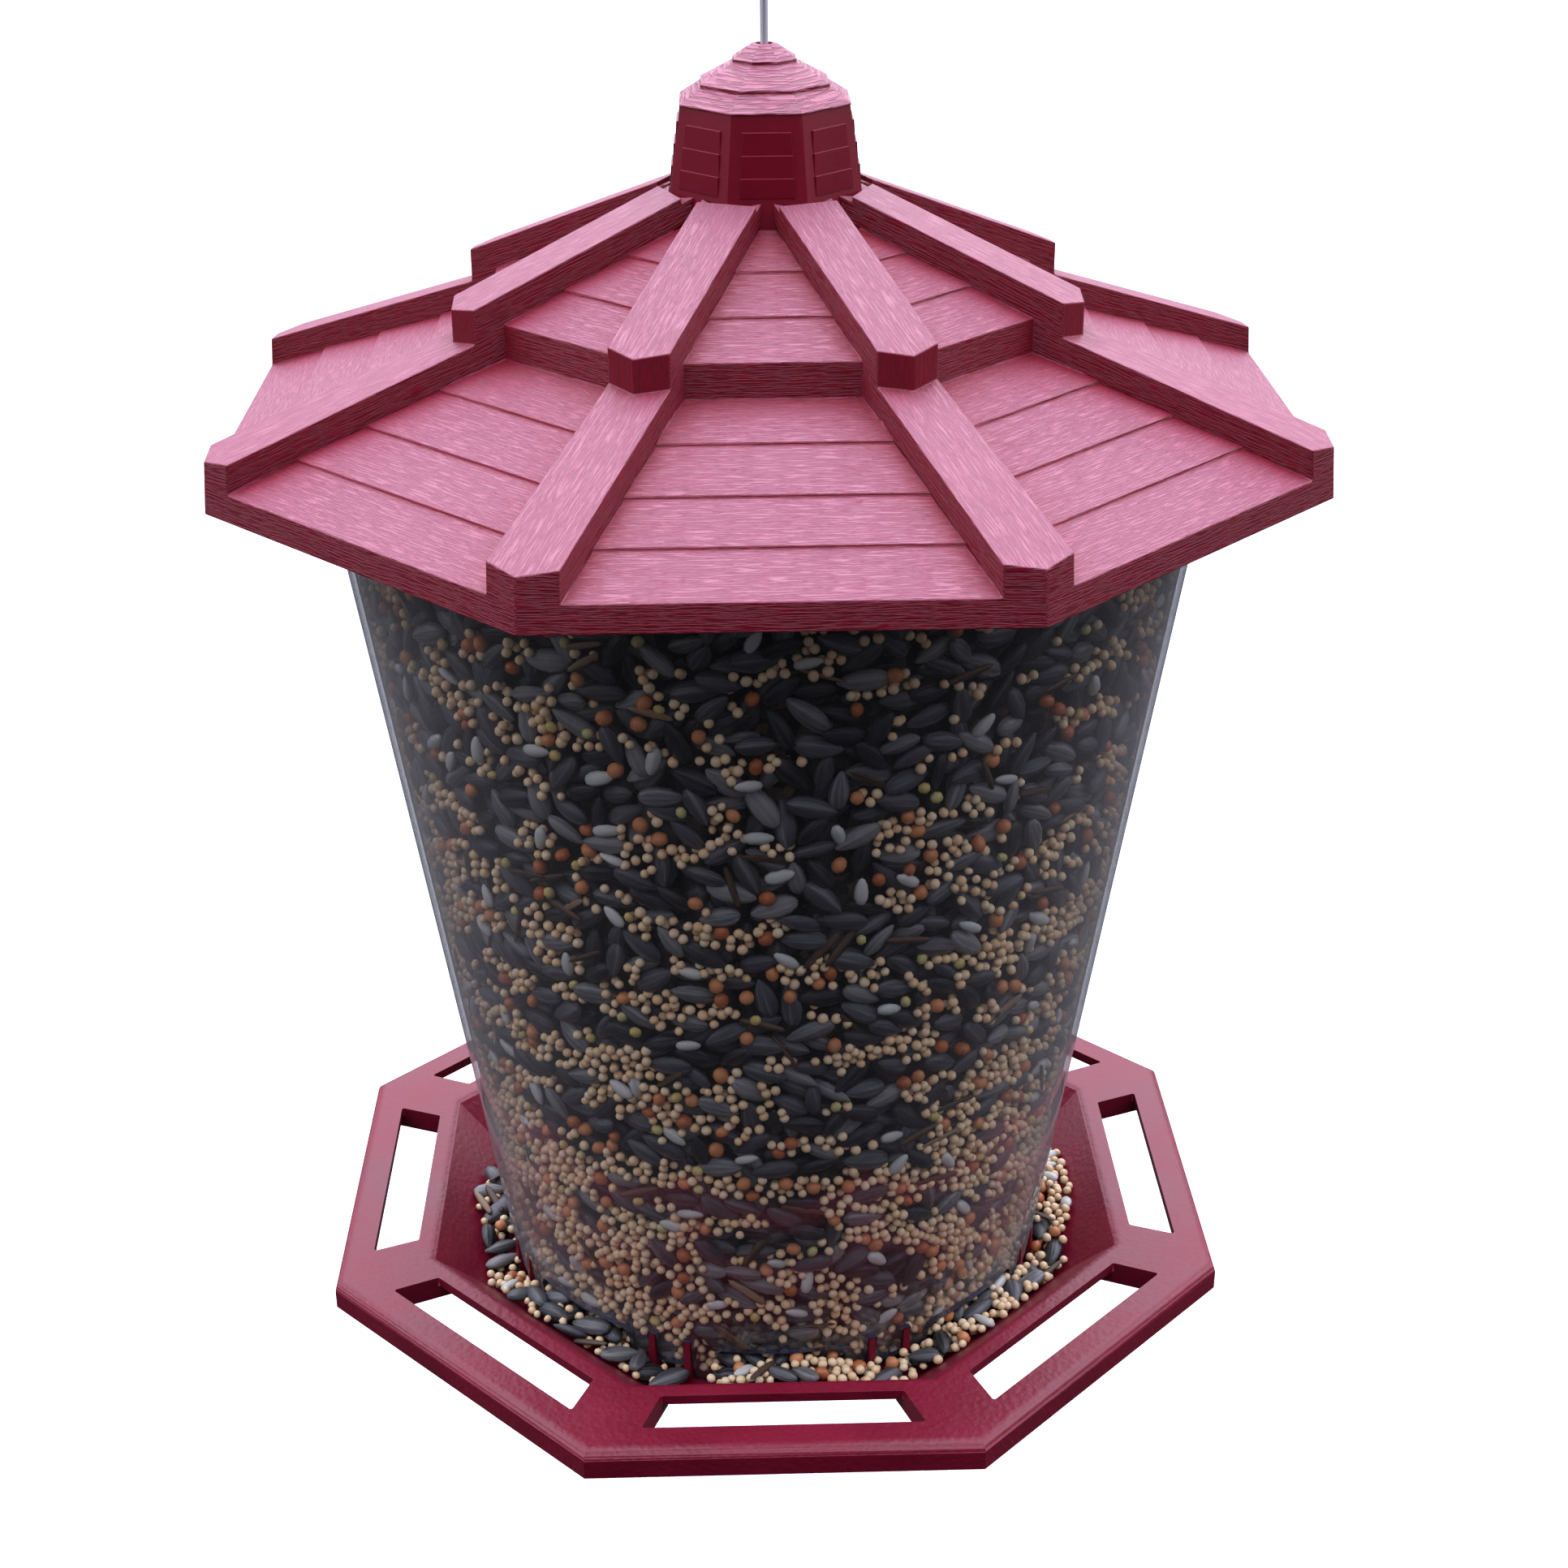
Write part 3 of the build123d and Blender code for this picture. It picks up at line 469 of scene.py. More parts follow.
def object_from(bm, name, materials):
    """A smooth-shaded object whose large faces stay flat."""
    mesh = bpy.data.meshes.new(name)
    bm.to_mesh(mesh)
    bm.free()
    for polygon in mesh.polygons:
        polygon.use_smooth = True
    mesh.set_sharp_from_angle(angle=math.radians(40.0))
    for material in materials:
        mesh.materials.append(material)
    thing = linked(name, mesh)
    weigh = thing.modifiers.new("flat_faces", "WEIGHTED_NORMAL")
    weigh.keep_sharp = True
    weigh.weight = 90
    return thing


def settle(thing, body, slot, *nodes):
    """Puts a piece on its body, in place of its CAD nodes."""
    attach(thing, body)
    if nodes:
        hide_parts(*nodes)
    return thing


def side_tangent(centre):
    """The horizontal direction along the nearest side of the octagon, and that side's number."""
    number = round(math.atan2(centre.y, centre.x) / STEP) % SIDES
    return Vector((-math.sin(number * STEP), math.cos(number * STEP), 0.0)), number


RIB_MARGIN = 0.3
RIB_NEAREST = 25.0  # from the wire; no batten comes nearer
COURSE = 15.0  # depth of a course of planks
TIER = 4.0  # height of a tier of the cap


def plank_grain(centre, normal):
    """Grain along each plank and fascia, and along the battens over the corners."""
    tangent, side = side_tangent(centre)
    corner = math.floor(math.atan2(centre.y, centre.x) / STEP)
    turn = (corner + 0.5) * STEP
    outward = outward_at(turn)
    across = Vector((-outward.y, outward.x, 0.0))
    on_rib = abs(centre.dot(across)) < (RIB_HALF + RIB_MARGIN) * MM
    if on_rib and centre.dot(outward) > RIB_NEAREST * MM:
        shift = 0.173 * (corner % SIDES) + 0.31
        upper = centre.z > UPPER_FOOT * MM - 0.002
        if normal.dot(outward) > 0.85:
            return (UP if upper else tangent), shift
        slope = UPPER_HIP_SLOPE if upper else LOWER_HIP_SLOPE
        return Vector((outward.x, outward.y, -slope)), shift
    course = int(math.hypot(centre.x, centre.y) / (COURSE * MM))
    return tangent, 0.219 * side + 0.377 * course


def tier_grain(centre, normal):
    """Grain along each facet of the cap."""
    tangent, side = side_tangent(centre)
    return tangent, 0.07 * int(centre.z / (TIER * MM)) + 0.003 * side


def made_from(node, name, body, slot, material, width, direction=None, rings=False, **easing):
    """A piece with the node's shape, eased edges and its own material. rings cuts its flat rings in four."""
    whole = quartered(welded(node)) if rings else welded(node)
    bm = eased(whole, width, **easing)
    if direction:
        grain_map(bm, direction)
    return settle(object_from(bm, name, [material]), body, slot, node)


made_from("roof", "plank_roof", "roof_body", "roof_plastic", roof_skin, 0.35, plank_grain)
made_from("cupola", "shuttered_cupola", "roof_body", "cupola_plastic", cupola_skin, 0.12, rings=True)
made_from("cupola_cap", "lapped_cap", "roof_body", "roof_plastic", cap_skin, 0.28, tier_grain, lap=0.25)
made_from("tray", "perch_tray", "root", "tray_plastic", tray_skin, 0.3, soft=on_perch)
made_from("seed_cone", "seed_baffle", "root", "tray_plastic", tray_skin, 0.3)
made_from("guide_bush", "wire_bush", "roof_guide", "bush_plastic", nylon_skin, 0.2)
made_from("eye_ferrule", "crimp_ferrule", "root", "ferrule_aluminium", ferrule_skin, 0.12)
made_from("flat_washer", "plain_washer", "root", "zinc_steel", zinc_skin, 0.15)
made_from("lock_washer", "spring_washer", "root", "zinc_steel", zinc_skin, 0.12)
made_from("wing_nut", "winged_nut", "nut", "zinc_steel", zinc_skin, 0.3)


CUT_FACING = 0.7  # a face of the jar's foot that faces outward less than this is a cut edge


def jar_piece():
    """The jar, with its cut edges told apart from its walls."""
    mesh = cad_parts["jar"].data.copy()
    mesh.name = "clear_jar"
    mesh.materials.clear()
    mesh.materials.append(jar_skin)
    mesh.materials.append(jar_edge_skin)
    for polygon in mesh.polygons:
        centre = polygon.center
        outward = Vector((centre.x, centre.y, 0.0)).normalized()
        cut = abs(polygon.normal.dot(outward)) < CUT_FACING and centre.z < RIM_TOP * MM
        polygon.material_index = 1 if cut else 0
    return settle(linked("clear_jar", mesh), "root", "clear_plastic", "jar")


jar_piece()


# ---- round stock: wire, eye and stud ----------------------------------


def mesh_object(name, points, faces, materials):
    """A smooth object from points in millimetres."""
    mesh = bpy.data.meshes.new(name)
    mesh.from_pydata([tuple(c * MM for c in point) for point in points], [], faces)
    for polygon in mesh.polygons:
        polygon.use_smooth = True
    mesh.set_sharp_from_angle(angle=math.radians(50.0))
    for material in materials:
        mesh.materials.append(material)
    return linked(name, mesh)


def grid_faces(rows, count, closed_ends=True):
    """Faces of a tube of rows of count points, with its two ends shut."""
    faces = []
    for row in range(rows - 1):
        for i in range(count):
            j = (i + 1) % count
            low, high = row * count, (row + 1) * count
            faces.append((low + i, low + j, high + j, high + i))
    if closed_ends:
        faces.append(tuple(reversed(range(count))))
        faces.append(tuple((rows - 1) * count + i for i in range(count)))
    return faces


def wire_route():
    """Points of the upper wire and its eye in the XZ plane: straight runs joined by arcs."""
    point, heading = Vector((0.0, WIRE_SPLIT)), 0.0
    route = [(point.copy(), heading)]

    def run(length, parts):
        nonlocal point
        for _ in range(parts):
            point = point + Vector((-math.sin(heading), math.cos(heading))) * (length / parts)
            route.append((point.copy(), heading))

    def bend(radius, turn, parts):
        nonlocal point, heading
        chord = 2.0 * radius * math.sin(abs(turn) / parts / 2.0)
        for _ in range(parts):
            heading += turn / parts / 2.0
            point = point + Vector((-math.sin(heading), math.cos(heading))) * chord
            heading += turn / parts / 2.0
            route.append((point.copy(), heading))

    sideways = EYE_BEND * (1.0 - math.cos(EYE_LEAN))
    flank = (EYE_RADIUS * math.cos(EYE_LEAN) - TAIL_SPACING / 2.0 - sideways) / math.sin(EYE_LEAN)
    run(EYE_NECK - WIRE_SPLIT, 8)
    bend(EYE_BEND, EYE_LEAN, 8)
    run(flank, 1)
    bend(EYE_RADIUS, -(math.pi + 2.0 * EYE_LEAN), 40)
    run(flank, 1)
    bend(EYE_BEND, EYE_LEAN, 8)
    run(TAIL_LENGTH, 2)
    return route


def wire_piece():
    """The straight wire and its bent eye, round all along."""
    count = 20
    points = []
    for centre, heading in wire_route():
        for i in range(count):
            turn = math.tau * i / count
            out = WIRE_RADIUS * math.cos(turn)
            x = centre.x + out * math.cos(heading)
            z = centre.y + out * math.sin(heading)
            points.append((x, WIRE_RADIUS * math.sin(turn), z))
    faces = grid_faces(len(points) // count, count)
    return mesh_object("hanger_wire_eye", points, faces, [wire_skin])


def lathe(name, outline, materials, count=48, depth=None):
    """A turned solid from its outline of (radius, height); depth cuts a thread into it."""
    points = []
    for radius, height in outline:
        for i in range(count):
            turn = math.tau * i / count
            cut = depth(radius, height, turn) if depth else 0.0
            reach = radius - cut
            points.append((reach * math.cos(turn), reach * math.sin(turn), height))
    return mesh_object(name, points, grid_faces(len(outline), count), materials)


def stud_outline():
    """Threaded end, shoulder and the sleeve that is crimped round the wire."""
    outline = [(STUD_RADIUS - 0.6, STUD_FOOT), (STUD_RADIUS - 0.1, STUD_FOOT + 0.5)]
    height = STUD_FOOT + 0.6
    while height < DOME_TOP:
        outline.append((STUD_RADIUS, height))
        height += THREAD_PITCH / 8.0
    shoulder = DOME_TOP + STUD_SHOULDER
    outline += [(STUD_RADIUS, DOME_TOP), (STUD_SHOULDER_RADIUS - 0.3, DOME_TOP)]
    outline += [(STUD_SHOULDER_RADIUS, DOME_TOP + 0.3), (STUD_SHOULDER_RADIUS, shoulder - 0.3)]
    outline += [(STUD_SHOULDER_RADIUS - 0.3, shoulder), (STUD_SLEEVE_RADIUS, shoulder)]
    outline += [(STUD_SLEEVE_RADIUS, STUD_SLEEVE_TOP - 0.3)]
    outline += [(STUD_SLEEVE_RADIUS - 0.3, STUD_SLEEVE_TOP)]
    return outline


def thread(radius, height, turn):
    """Depth of the stud's thread below its crest."""
    if radius != STUD_RADIUS or height > DOME_TOP - 1.5:
        return 0.0
    phase = height / THREAD_PITCH - turn / math.tau
    return THREAD_DEPTH * (1.0 - math.cos(math.tau * phase))


eye = settle(wire_piece(), "root", "wire_steel", "hanger_wire")
foot = lathe(
    "hanger_wire_foot",
    [(WIRE_RADIUS, STUD_SLEEVE_TOP - 1.0), (WIRE_RADIUS, WIRE_SPLIT)],
    [wire_skin],
    count=20,
)
settle(foot, "root", "wire_steel", "hanger_wire")
stud = lathe("threaded_end", stud_outline(), [zinc_skin], depth=thread)
settle(stud, "root", "zinc_steel", "threaded_stud")


# ---- loose seed -------------------------------------------------------


class Kind:
    """A kind of seed: its size, its shape as a template mesh, and the cells it takes on the map."""

    def __init__(self, size, taper, bluntness, rings, sides, balls, cells, slot):
        self.size = size
        self.balls = balls  # (place along and across the seed, radius) of the room that it keeps
        self.cells = cells
        self.slot = slot
        self.points, self.corners, self.counts, self.uvs = self.template(
            taper, bluntness, rings, sides
        )

    def template(self, taper, bluntness, rings, sides):
        """A closed seed along X: widest near its blunt end at -X, pointed at +X when tapered."""
        length, width, thickness = self.size
        rows = []
        for ring in range(1, rings + 1):
            x = -math.cos(math.pi * ring / (rings + 1))
            along = 0.5 + 0.5 * x
            bent = along**taper
            rows.append((x, (4.0 * bent * (1.0 - bent)) ** bluntness))
        peak = max(swell for _, swell in rows)
        points = [(-length / 2.0, 0.0, 0.0)]
        for x, swell in rows:
            for i in range(sides):
                turn = math.tau * i / sides
                y = width / 2.0 * swell / peak * math.cos(turn)
                z = thickness / 2.0 * swell / peak * math.sin(turn)
                points.append((x * length / 2.0, y, z))
        points.append((length / 2.0, 0.0, 0.0))
        last = len(points) - 1
        corners, counts, uvs = [], [], []

        def spot(ring, i):
            return 1 + (ring - 1) * sides + i % sides

        def face(*spots):
            """One face, from each corner's point and its ring and side on the map."""
            for point, ring, side in spots:
                corners.append(point)
                uvs.append((side / sides, ring / (rings + 1)))
            counts.append(len(spots))

        for i in range(sides):
            face((0, 0, i + 0.5), (spot(1, i + 1), 1, i + 1), (spot(1, i), 1, i))
        for ring in range(1, rings):
            for i in range(sides):
                near = ((spot(ring, j), ring, j) for j in (i, i + 1))
                far = ((spot(ring + 1, j), ring + 1, j) for j in (i + 1, i))
                face(*near, *far)
        for i in range(sides):
            face((spot(rings, i), rings, i), (spot(rings, i + 1), rings, i + 1), (last, rings + 1, i + 0.5))
        return np.array(points), np.array(corners), np.array(counts), np.array(uvs)


HULL_ROOM = ((-0.62, 0.0, 1.2), (-0.2, 0.24, 1.3), (-0.2, -0.24, 1.3))
HULL_ROOM += ((0.28, 0.14, 1.1), (0.28, -0.14, 1.1), (0.72, 0.0, 0.7))
GRAIN_ROOM = ((0.0, 0.0, 1.08),)
KINDS = {
    "sunflower": Kind((11.4, 5.4, 3.4), 0.78, 0.72, 6, 8, HULL_ROOM, range(0, 8), 0),
    "sunflower_deep": Kind((11.4, 5.4, 3.4), 0.78, 0.72, 4, 6, HULL_ROOM, range(0, 8), 0),
    "millet": Kind((2.5, 2.4, 2.2), 1.0, 0.5, 4, 9, GRAIN_ROOM, range(8, 14), 1),
    "millet_deep": Kind((2.5, 2.4, 2.2), 1.0, 0.5, 3, 6, GRAIN_ROOM, range(8, 14), 1),
    "safflower": Kind(
        (6.9, 3.3, 2.3), 0.8, 0.55, 5, 8, ((-0.3, 0.12, 1.0), (-0.3, -0.12, 1.0), (0.4, 0.0, 0.9)),
        range(14, 17), 2,
    ),
    "milo": Kind((3.9, 3.6, 3.1), 0.95, 0.5, 4, 9, ((0.0, 0.0, 1.6),), range(17, 20), 3),
    "canary": Kind((3.0, 2.7, 2.4), 1.0, 0.5, 3, 8, ((0.0, 0.0, 1.2),), range(20, 22), 5),
    "husk": Kind(
        (12.0, 2.2, 1.0), 0.9, 0.4, 4, 6, ((-0.6, 0.0, 0.5), (0.0, 0.0, 0.5), (0.6, 0.0, 0.5)),
        range(22, 25), 4,
    ),
}

SEED_LOOKS = [  # name, tones, streak, roughness, relief
    (
        "sunflower_hull",
        [(0.012, 0.012, 0.013), (0.038, 0.036, 0.039), (0.080, 0.077, 0.082), (0.24, 0.23, 0.22)],
        (10.0, 0.5), 0.40, 0.0005,
    ),
    (
        "millet_grain",
        [(0.66, 0.36, 0.16), (0.86, 0.56, 0.29), (0.92, 0.70, 0.44)],
        (1.2, 1.2), 0.42, 0.00004,
    ),
    (
        "safflower_hull",
        [(0.40, 0.38, 0.32), (0.60, 0.59, 0.54), (0.76, 0.76, 0.72)],
        (2.5, 0.6), 0.4, 0.00006,
    ),
    (
        "milo_grain",
        [(0.26, 0.060, 0.016), (0.50, 0.14, 0.04), (0.66, 0.26, 0.10)],
        (1.3, 1.3), 0.4, 0.00004,
    ),
    (
        "husk_fibre",
        [(0.05, 0.025, 0.012), (0.16, 0.09, 0.045), (0.34, 0.22, 0.13)],
        (4.0, 0.6), 0.6, 0.0001,
    ),
    (
        "canary_grain",
        [(0.52, 0.36, 0.10), (0.70, 0.56, 0.20), (0.56, 0.50, 0.20)],
        (1.3, 1.3), 0.45, 0.00004,
    ),
]
SEED_SKINS = [seed_skin(*look) for look in SEED_LOOKS]
# The seed skins again, darkened as painted shade for the seed in the dish under the roof.
SHADED_SPILL_SKINS = [
    seed_skin("shaded_spill_" + name, [shaded(tone, SPILL_SHADE) for tone in tones], *rest)
    for name, tones, *rest in SEED_LOOKS
]


class Pile:
    """Seeds already laid. Each keeps its room as a few balls in a grid of cells."""

    CELL = 4.0

    def __init__(self):
        self.grid = {}
        self.laid = []

    def key(self, point):
        return tuple(int(math.floor(c / self.CELL)) for c in point)

    def free(self, balls):
        """True if no ball touches one that is already there."""
        for point, radius in balls:
            i, j, k = self.key(point)
            for a in (i - 1, i, i + 1):
                for b in (j - 1, j, j + 1):
                    for c in (k - 1, k, k + 1):
                        for other, other_radius in self.grid.get((a, b, c), ()):
                            gap = radius + other_radius
                            dx, dy, dz = (point[n] - other[n] for n in range(3))
                            if dx * dx + dy * dy + dz * dz < gap * gap:
                                return False
        return True

    def lay(self, name, centre, axes, scale, fits=None):
        """Adds a seed and keeps its room, if it fits and its room is free."""
        balls = kept_room(KINDS[name], centre, axes, scale)
        if (fits is None or fits(balls)) and self.free(balls):
            for ball in balls:
                self.grid.setdefault(self.key(ball[0]), []).append(ball)
            self.laid.append((name, centre, axes, scale))


def seed_axes(normal, heading, dip, roll):
    """A seed's three axes: along it, across it and through its flat, from its tilt on a surface."""
    level = Vector((-normal.y, normal.x, 0.0))
    level = level.normalized() if level.length > 1e-4 else Vector((1.0, 0.0, 0.0))
    upward = normal.cross(level)
    along = level * math.cos(heading) + upward * math.sin(heading)
    across = normal.cross(along)
    along, through = turned(along, normal, dip)
    across, through = turned(across, through, roll)
    return along, across, through


def reach_along(kind, axes, scale, direction):
    """How far a seed reaches from its centre in a direction."""
    parts = (kind.size[n] * scale / 2.0 * axes[n].dot(direction) for n in range(3))
    return math.sqrt(sum(part * part for part in parts))


def kept_room(kind, centre, axes, scale):
    """A seed's balls where it lies."""
    half, width = kind.size[0] * scale / 2.0, kind.size[1] * scale
    room = []
    for along, across, radius in kind.balls:
        point = centre + axes[0] * (half * along) + axes[1] * (width * across)
        room.append((tuple(point), radius * scale))
    return room


rng = random.Random(SEED)


def drawn_tilt(name, calm):
    """Random heading, dip and roll; calm seeds lie level along the wall."""
    if calm > rng.random():
        heading = rng.gauss(0.0, 0.45) + (math.pi if rng.random() < 0.5 else 0.0)
    else:
        heading = rng.uniform(0.0, math.tau)
    loose = 1.4 if name.startswith("mil") else 0.6
    return heading, rng.gauss(0.0, 0.28 * loose), rng.gauss(0.0, 0.6 * loose)


def evenly(share):
    """The same chance everywhere."""
    return lambda *place: share


def wall_frame(turn, height):
    """A point on the jar's inner face and the outward normal there."""
    radius = jar_radius(height) - JAR_WALL
    outward = outward_at(turn)
    point = outward * radius + Vector((0.0, 0.0, height))
    return point, (outward - Vector((0.0, 0.0, JAR_TAPER))).normalized()


def millet_share(turn, height):
    """How much of the seed at the jar's wall is millet: most at the foot, in level bands and clusters."""
    heights = (0.0, 25.0, 55.0, 90.0, 125.0, 150.0, 168.0, 205.0, 230.0, 250.0)
    shares = (0.88, 0.82, 0.68, 0.52, 0.44, 0.30, 0.10, 0.06, 0.16, 0.34)
    base = float(np.interp(height, heights, shares)) + 0.32 * math.cos(turn) ** 6
    arc = turn * jar_radius(height)
    aside = abs(math.remainder(turn, STEP)) * jar_radius(height)
    if height < PORT_TOP + 2.0 and aside < PORT_HALF_WIDTH:
        base -= 0.45  # the ports show sunflower
    bands = noise.noise(Vector((arc / 26.0, height / 7.0, 7.3)))
    clumps = noise.noise(Vector((arc / 10.0, height / 7.0, 41.7)))
    return base + 1.5 * bands + 1.2 * clumps


def scatter_wall(pile, name, tries, depth, spread, chance):
    """Lays seeds just inside the jar's wall."""
    kind = KINDS[name]
    for _ in range(tries):
        turn = rng.uniform(0.0, math.tau)
        low, high = jar_radius(FLOOR_TOP), jar_radius(HEAP_EDGE)
        radius = math.sqrt(rng.uniform(low * low, high * high))
        height = FLOOR_TOP + (radius - JAR_FOOT_RADIUS) / JAR_TAPER
        if rng.random() > chance(turn, height):
            continue
        point, normal = wall_frame(turn, height)
        calm = 0.75 if height < 120.0 else 0.35
        axes = seed_axes(normal, *drawn_tilt(name, calm))
        scale = rng.uniform(0.88, 1.12)
        inset = reach_along(kind, axes, scale, normal) + 0.15 + depth + rng.uniform(0.0, spread)
        centre = point - normal * inset
        if centre.z - reach_along(kind, axes, scale, UP) < FLOOR_TOP:
            continue
        pile.lay(name, centre, axes, scale)


def fill_wall(pile):
    """The seed seen through the jar: a front layer and two that show between it."""

    def dark(turn, height):
        return 1.15 - 1.2 * millet_share(turn, height)

    def pale(turn, height):
        return 1.6 * millet_share(turn, height) - 0.4

    scatter_wall(pile, "husk", 300, 0.0, 0.5, evenly(0.5))
    scatter_wall(pile, "safflower", 480, 0.0, 0.4, evenly(0.5))
    scatter_wall(pile, "milo", 1500, 0.0, 0.5, lambda turn, height: 0.6 if height < 110 else 0.28)
    scatter_wall(pile, "canary", 500, 0.0, 0.5, evenly(0.4))
    scatter_wall(pile, "sunflower", 30000, 0.0, 1.3, dark)
    scatter_wall(pile, "millet", 60000, 0.0, 0.8, pale)
    scatter_wall(pile, "sunflower", 14000, 1.3, 1.3, dark)
    scatter_wall(pile, "millet_deep", 40000, 1.2, 1.4, pale)
    scatter_wall(pile, "sunflower_deep", 12000, 2.6, 1.8, evenly(0.7))


def heap_height(x, y):
    """Top of the seed inside the jar."""
    edge = jar_radius(HEAP_EDGE) - JAR_WALL
    rise = 1.0 - min(1.0, math.hypot(x, y) / edge)
    dune = noise.noise(Vector((x / 34.0, y / 34.0, 5.0)))
    return HEAP_EDGE + (HEAP_PEAK - HEAP_EDGE) * rise + 1.2 * dune


def scatter_heap(pile, name, tries, depth, spread, chance):
    """Lays seeds on the heap that shows when the roof is lifted."""
    kind = KINDS[name]
    edge = jar_radius(HEAP_EDGE) - JAR_WALL - 1.0
    for _ in range(tries):
        radius, turn = edge * math.sqrt(rng.random()), rng.uniform(0.0, math.tau)
        x, y = radius * math.cos(turn), radius * math.sin(turn)
        if rng.random() > chance(x, y):
            continue
        axes = seed_axes(UP, *drawn_tilt(name, 0.0))
        scale = rng.uniform(0.88, 1.12)
        up = reach_along(kind, axes, scale, UP)
        out = reach_along(kind, axes, scale, outward_at(turn))
        if radius + out > edge + 0.9 or radius - out < WIRE_RADIUS + 0.3:
            continue
        centre = Vector((x, y, heap_height(x, y) - up - depth - rng.uniform(0.0, spread)))
        pile.lay(name, centre, axes, scale)


def fill_heap(pile):
    """The top of the seed."""

    def patch(x, y):
        return 0.35 + 0.8 * noise.noise(Vector((x / 15.0, y / 15.0, 17.0)))

    scatter_heap(pile, "husk", 40, 0.0, 0.5, evenly(0.5))
    scatter_heap(pile, "safflower", 120, 0.0, 0.5, evenly(0.5))
    scatter_heap(pile, "milo", 260, 0.0, 0.5, evenly(0.5))
    scatter_heap(pile, "sunflower", 3600, 0.0, 1.2, lambda x, y: 1.1 - patch(x, y))
    scatter_heap(pile, "millet", 7000, 0.0, 1.0, lambda x, y: 1.3 * patch(x, y))
    scatter_heap(pile, "sunflower_deep", 2200, 1.6, 1.2, lambda x, y: 1.1 - patch(x, y))


def dish_level(turn):
    """Height of the spilled seed: a mound before each port, low at the latches between them."""
    near_port = 0.5 + 0.5 * math.cos(turn * SIDES)
    mound = noise.noise(Vector((math.cos(turn) * 2.2, math.sin(turn) * 2.2, 3.1)))
    return 9.2 + 6.0 * near_port**0.6 + 1.6 * mound


def clear_of_jar(balls):
    """True if a spilled seed keeps off the jar's foot and the latch tongues, or lies in a port."""
    for (x, y, z), radius in balls:
        turn = math.atan2(y, x)
        side = round(turn / STEP) * STEP
        lateral = abs(-x * math.sin(side) + y * math.cos(side))
        outer, inner = jar_radius(z) + radius, jar_radius(z) - JAR_WALL - radius
        if not inner < math.hypot(x, y) < outer:
            continue
        if lateral > PORT_HALF_WIDTH - radius or z > PORT_TOP - radius:
            return False
    return True


def scatter_dish(pile, name, tries, depth, spread, chance):
    """Lays seeds in the ring of the dish, just under the top of the spill."""
    kind = KINDS[name]
    for _ in range(tries):
        turn = rng.uniform(0.0, math.tau)
        bare = math.exp(-(math.remainder(turn - BARE_TURN, math.tau) / BARE_WIDTH) ** 4)
        if rng.random() > chance(turn) * (1.0 - 1.02 * bare):
            continue
        radius = rng.uniform(JAR_FOOT_RADIUS - 5.0, DISH_REACH)
        axes = seed_axes(UP, *drawn_tilt(name, 0.0))
        scale = rng.uniform(0.88, 1.1)
        up = reach_along(kind, axes, scale, UP)
        level = dish_level(turn)
        height = max(FLOOR_TOP + up, level - up - depth - rng.uniform(0.0, spread))
        facing = outward_at(round(turn / STEP) * STEP)
        wall = (facing - UP).normalized()
        centre = outward_at(turn) * radius + Vector((0.0, 0.0, height))
        room = (FLOOR_APOTHEM - FLOOR_TOP) * facing.dot(wall) - centre.dot(wall)
        if room < reach_along(kind, axes, scale, wall) + 0.1:
            continue
        pile.lay(name, centre, axes, scale, fits=clear_of_jar)


def fill_dish(pile):
    """Seed spilled from the ports into the dish."""

    def dark(turn):
        """Sunflower lies thickest before the ports at the left and the front left."""
        patch = noise.noise(Vector((math.cos(turn) * 4.0, math.sin(turn) * 4.0, 9.4)))
        heaps = 0.0
        for place, width, share in DARK_HEAPS:
            away = math.remainder(turn - place, math.tau) / width
            heaps += share * math.exp(-away * away)
        return 0.62 + heaps + 0.9 * patch

    scatter_dish(pile, "husk", 60, 0.0, 0.6, evenly(0.5))
    scatter_dish(pile, "safflower", 110, 0.0, 0.6, lambda turn: 0.8 - 0.4 * dark(turn))
    scatter_dish(pile, "milo", 340, 0.0, 0.8, lambda turn: 0.7 - 0.4 * dark(turn))
    scatter_dish(pile, "sunflower", 6000, 0.0, 1.6, dark)
    scatter_dish(pile, "millet", 16000, 0.0, 1.2, lambda turn: 1.15 - dark(turn))
    scatter_dish(pile, "sunflower_deep", 5000, 1.8, 2.0, dark)
    scatter_dish(pile, "millet_deep", 14000, 1.4, 2.6, evenly(1.0))
    scatter_dish(pile, "sunflower_deep", 4000, 3.5, 4.0, evenly(1.0))


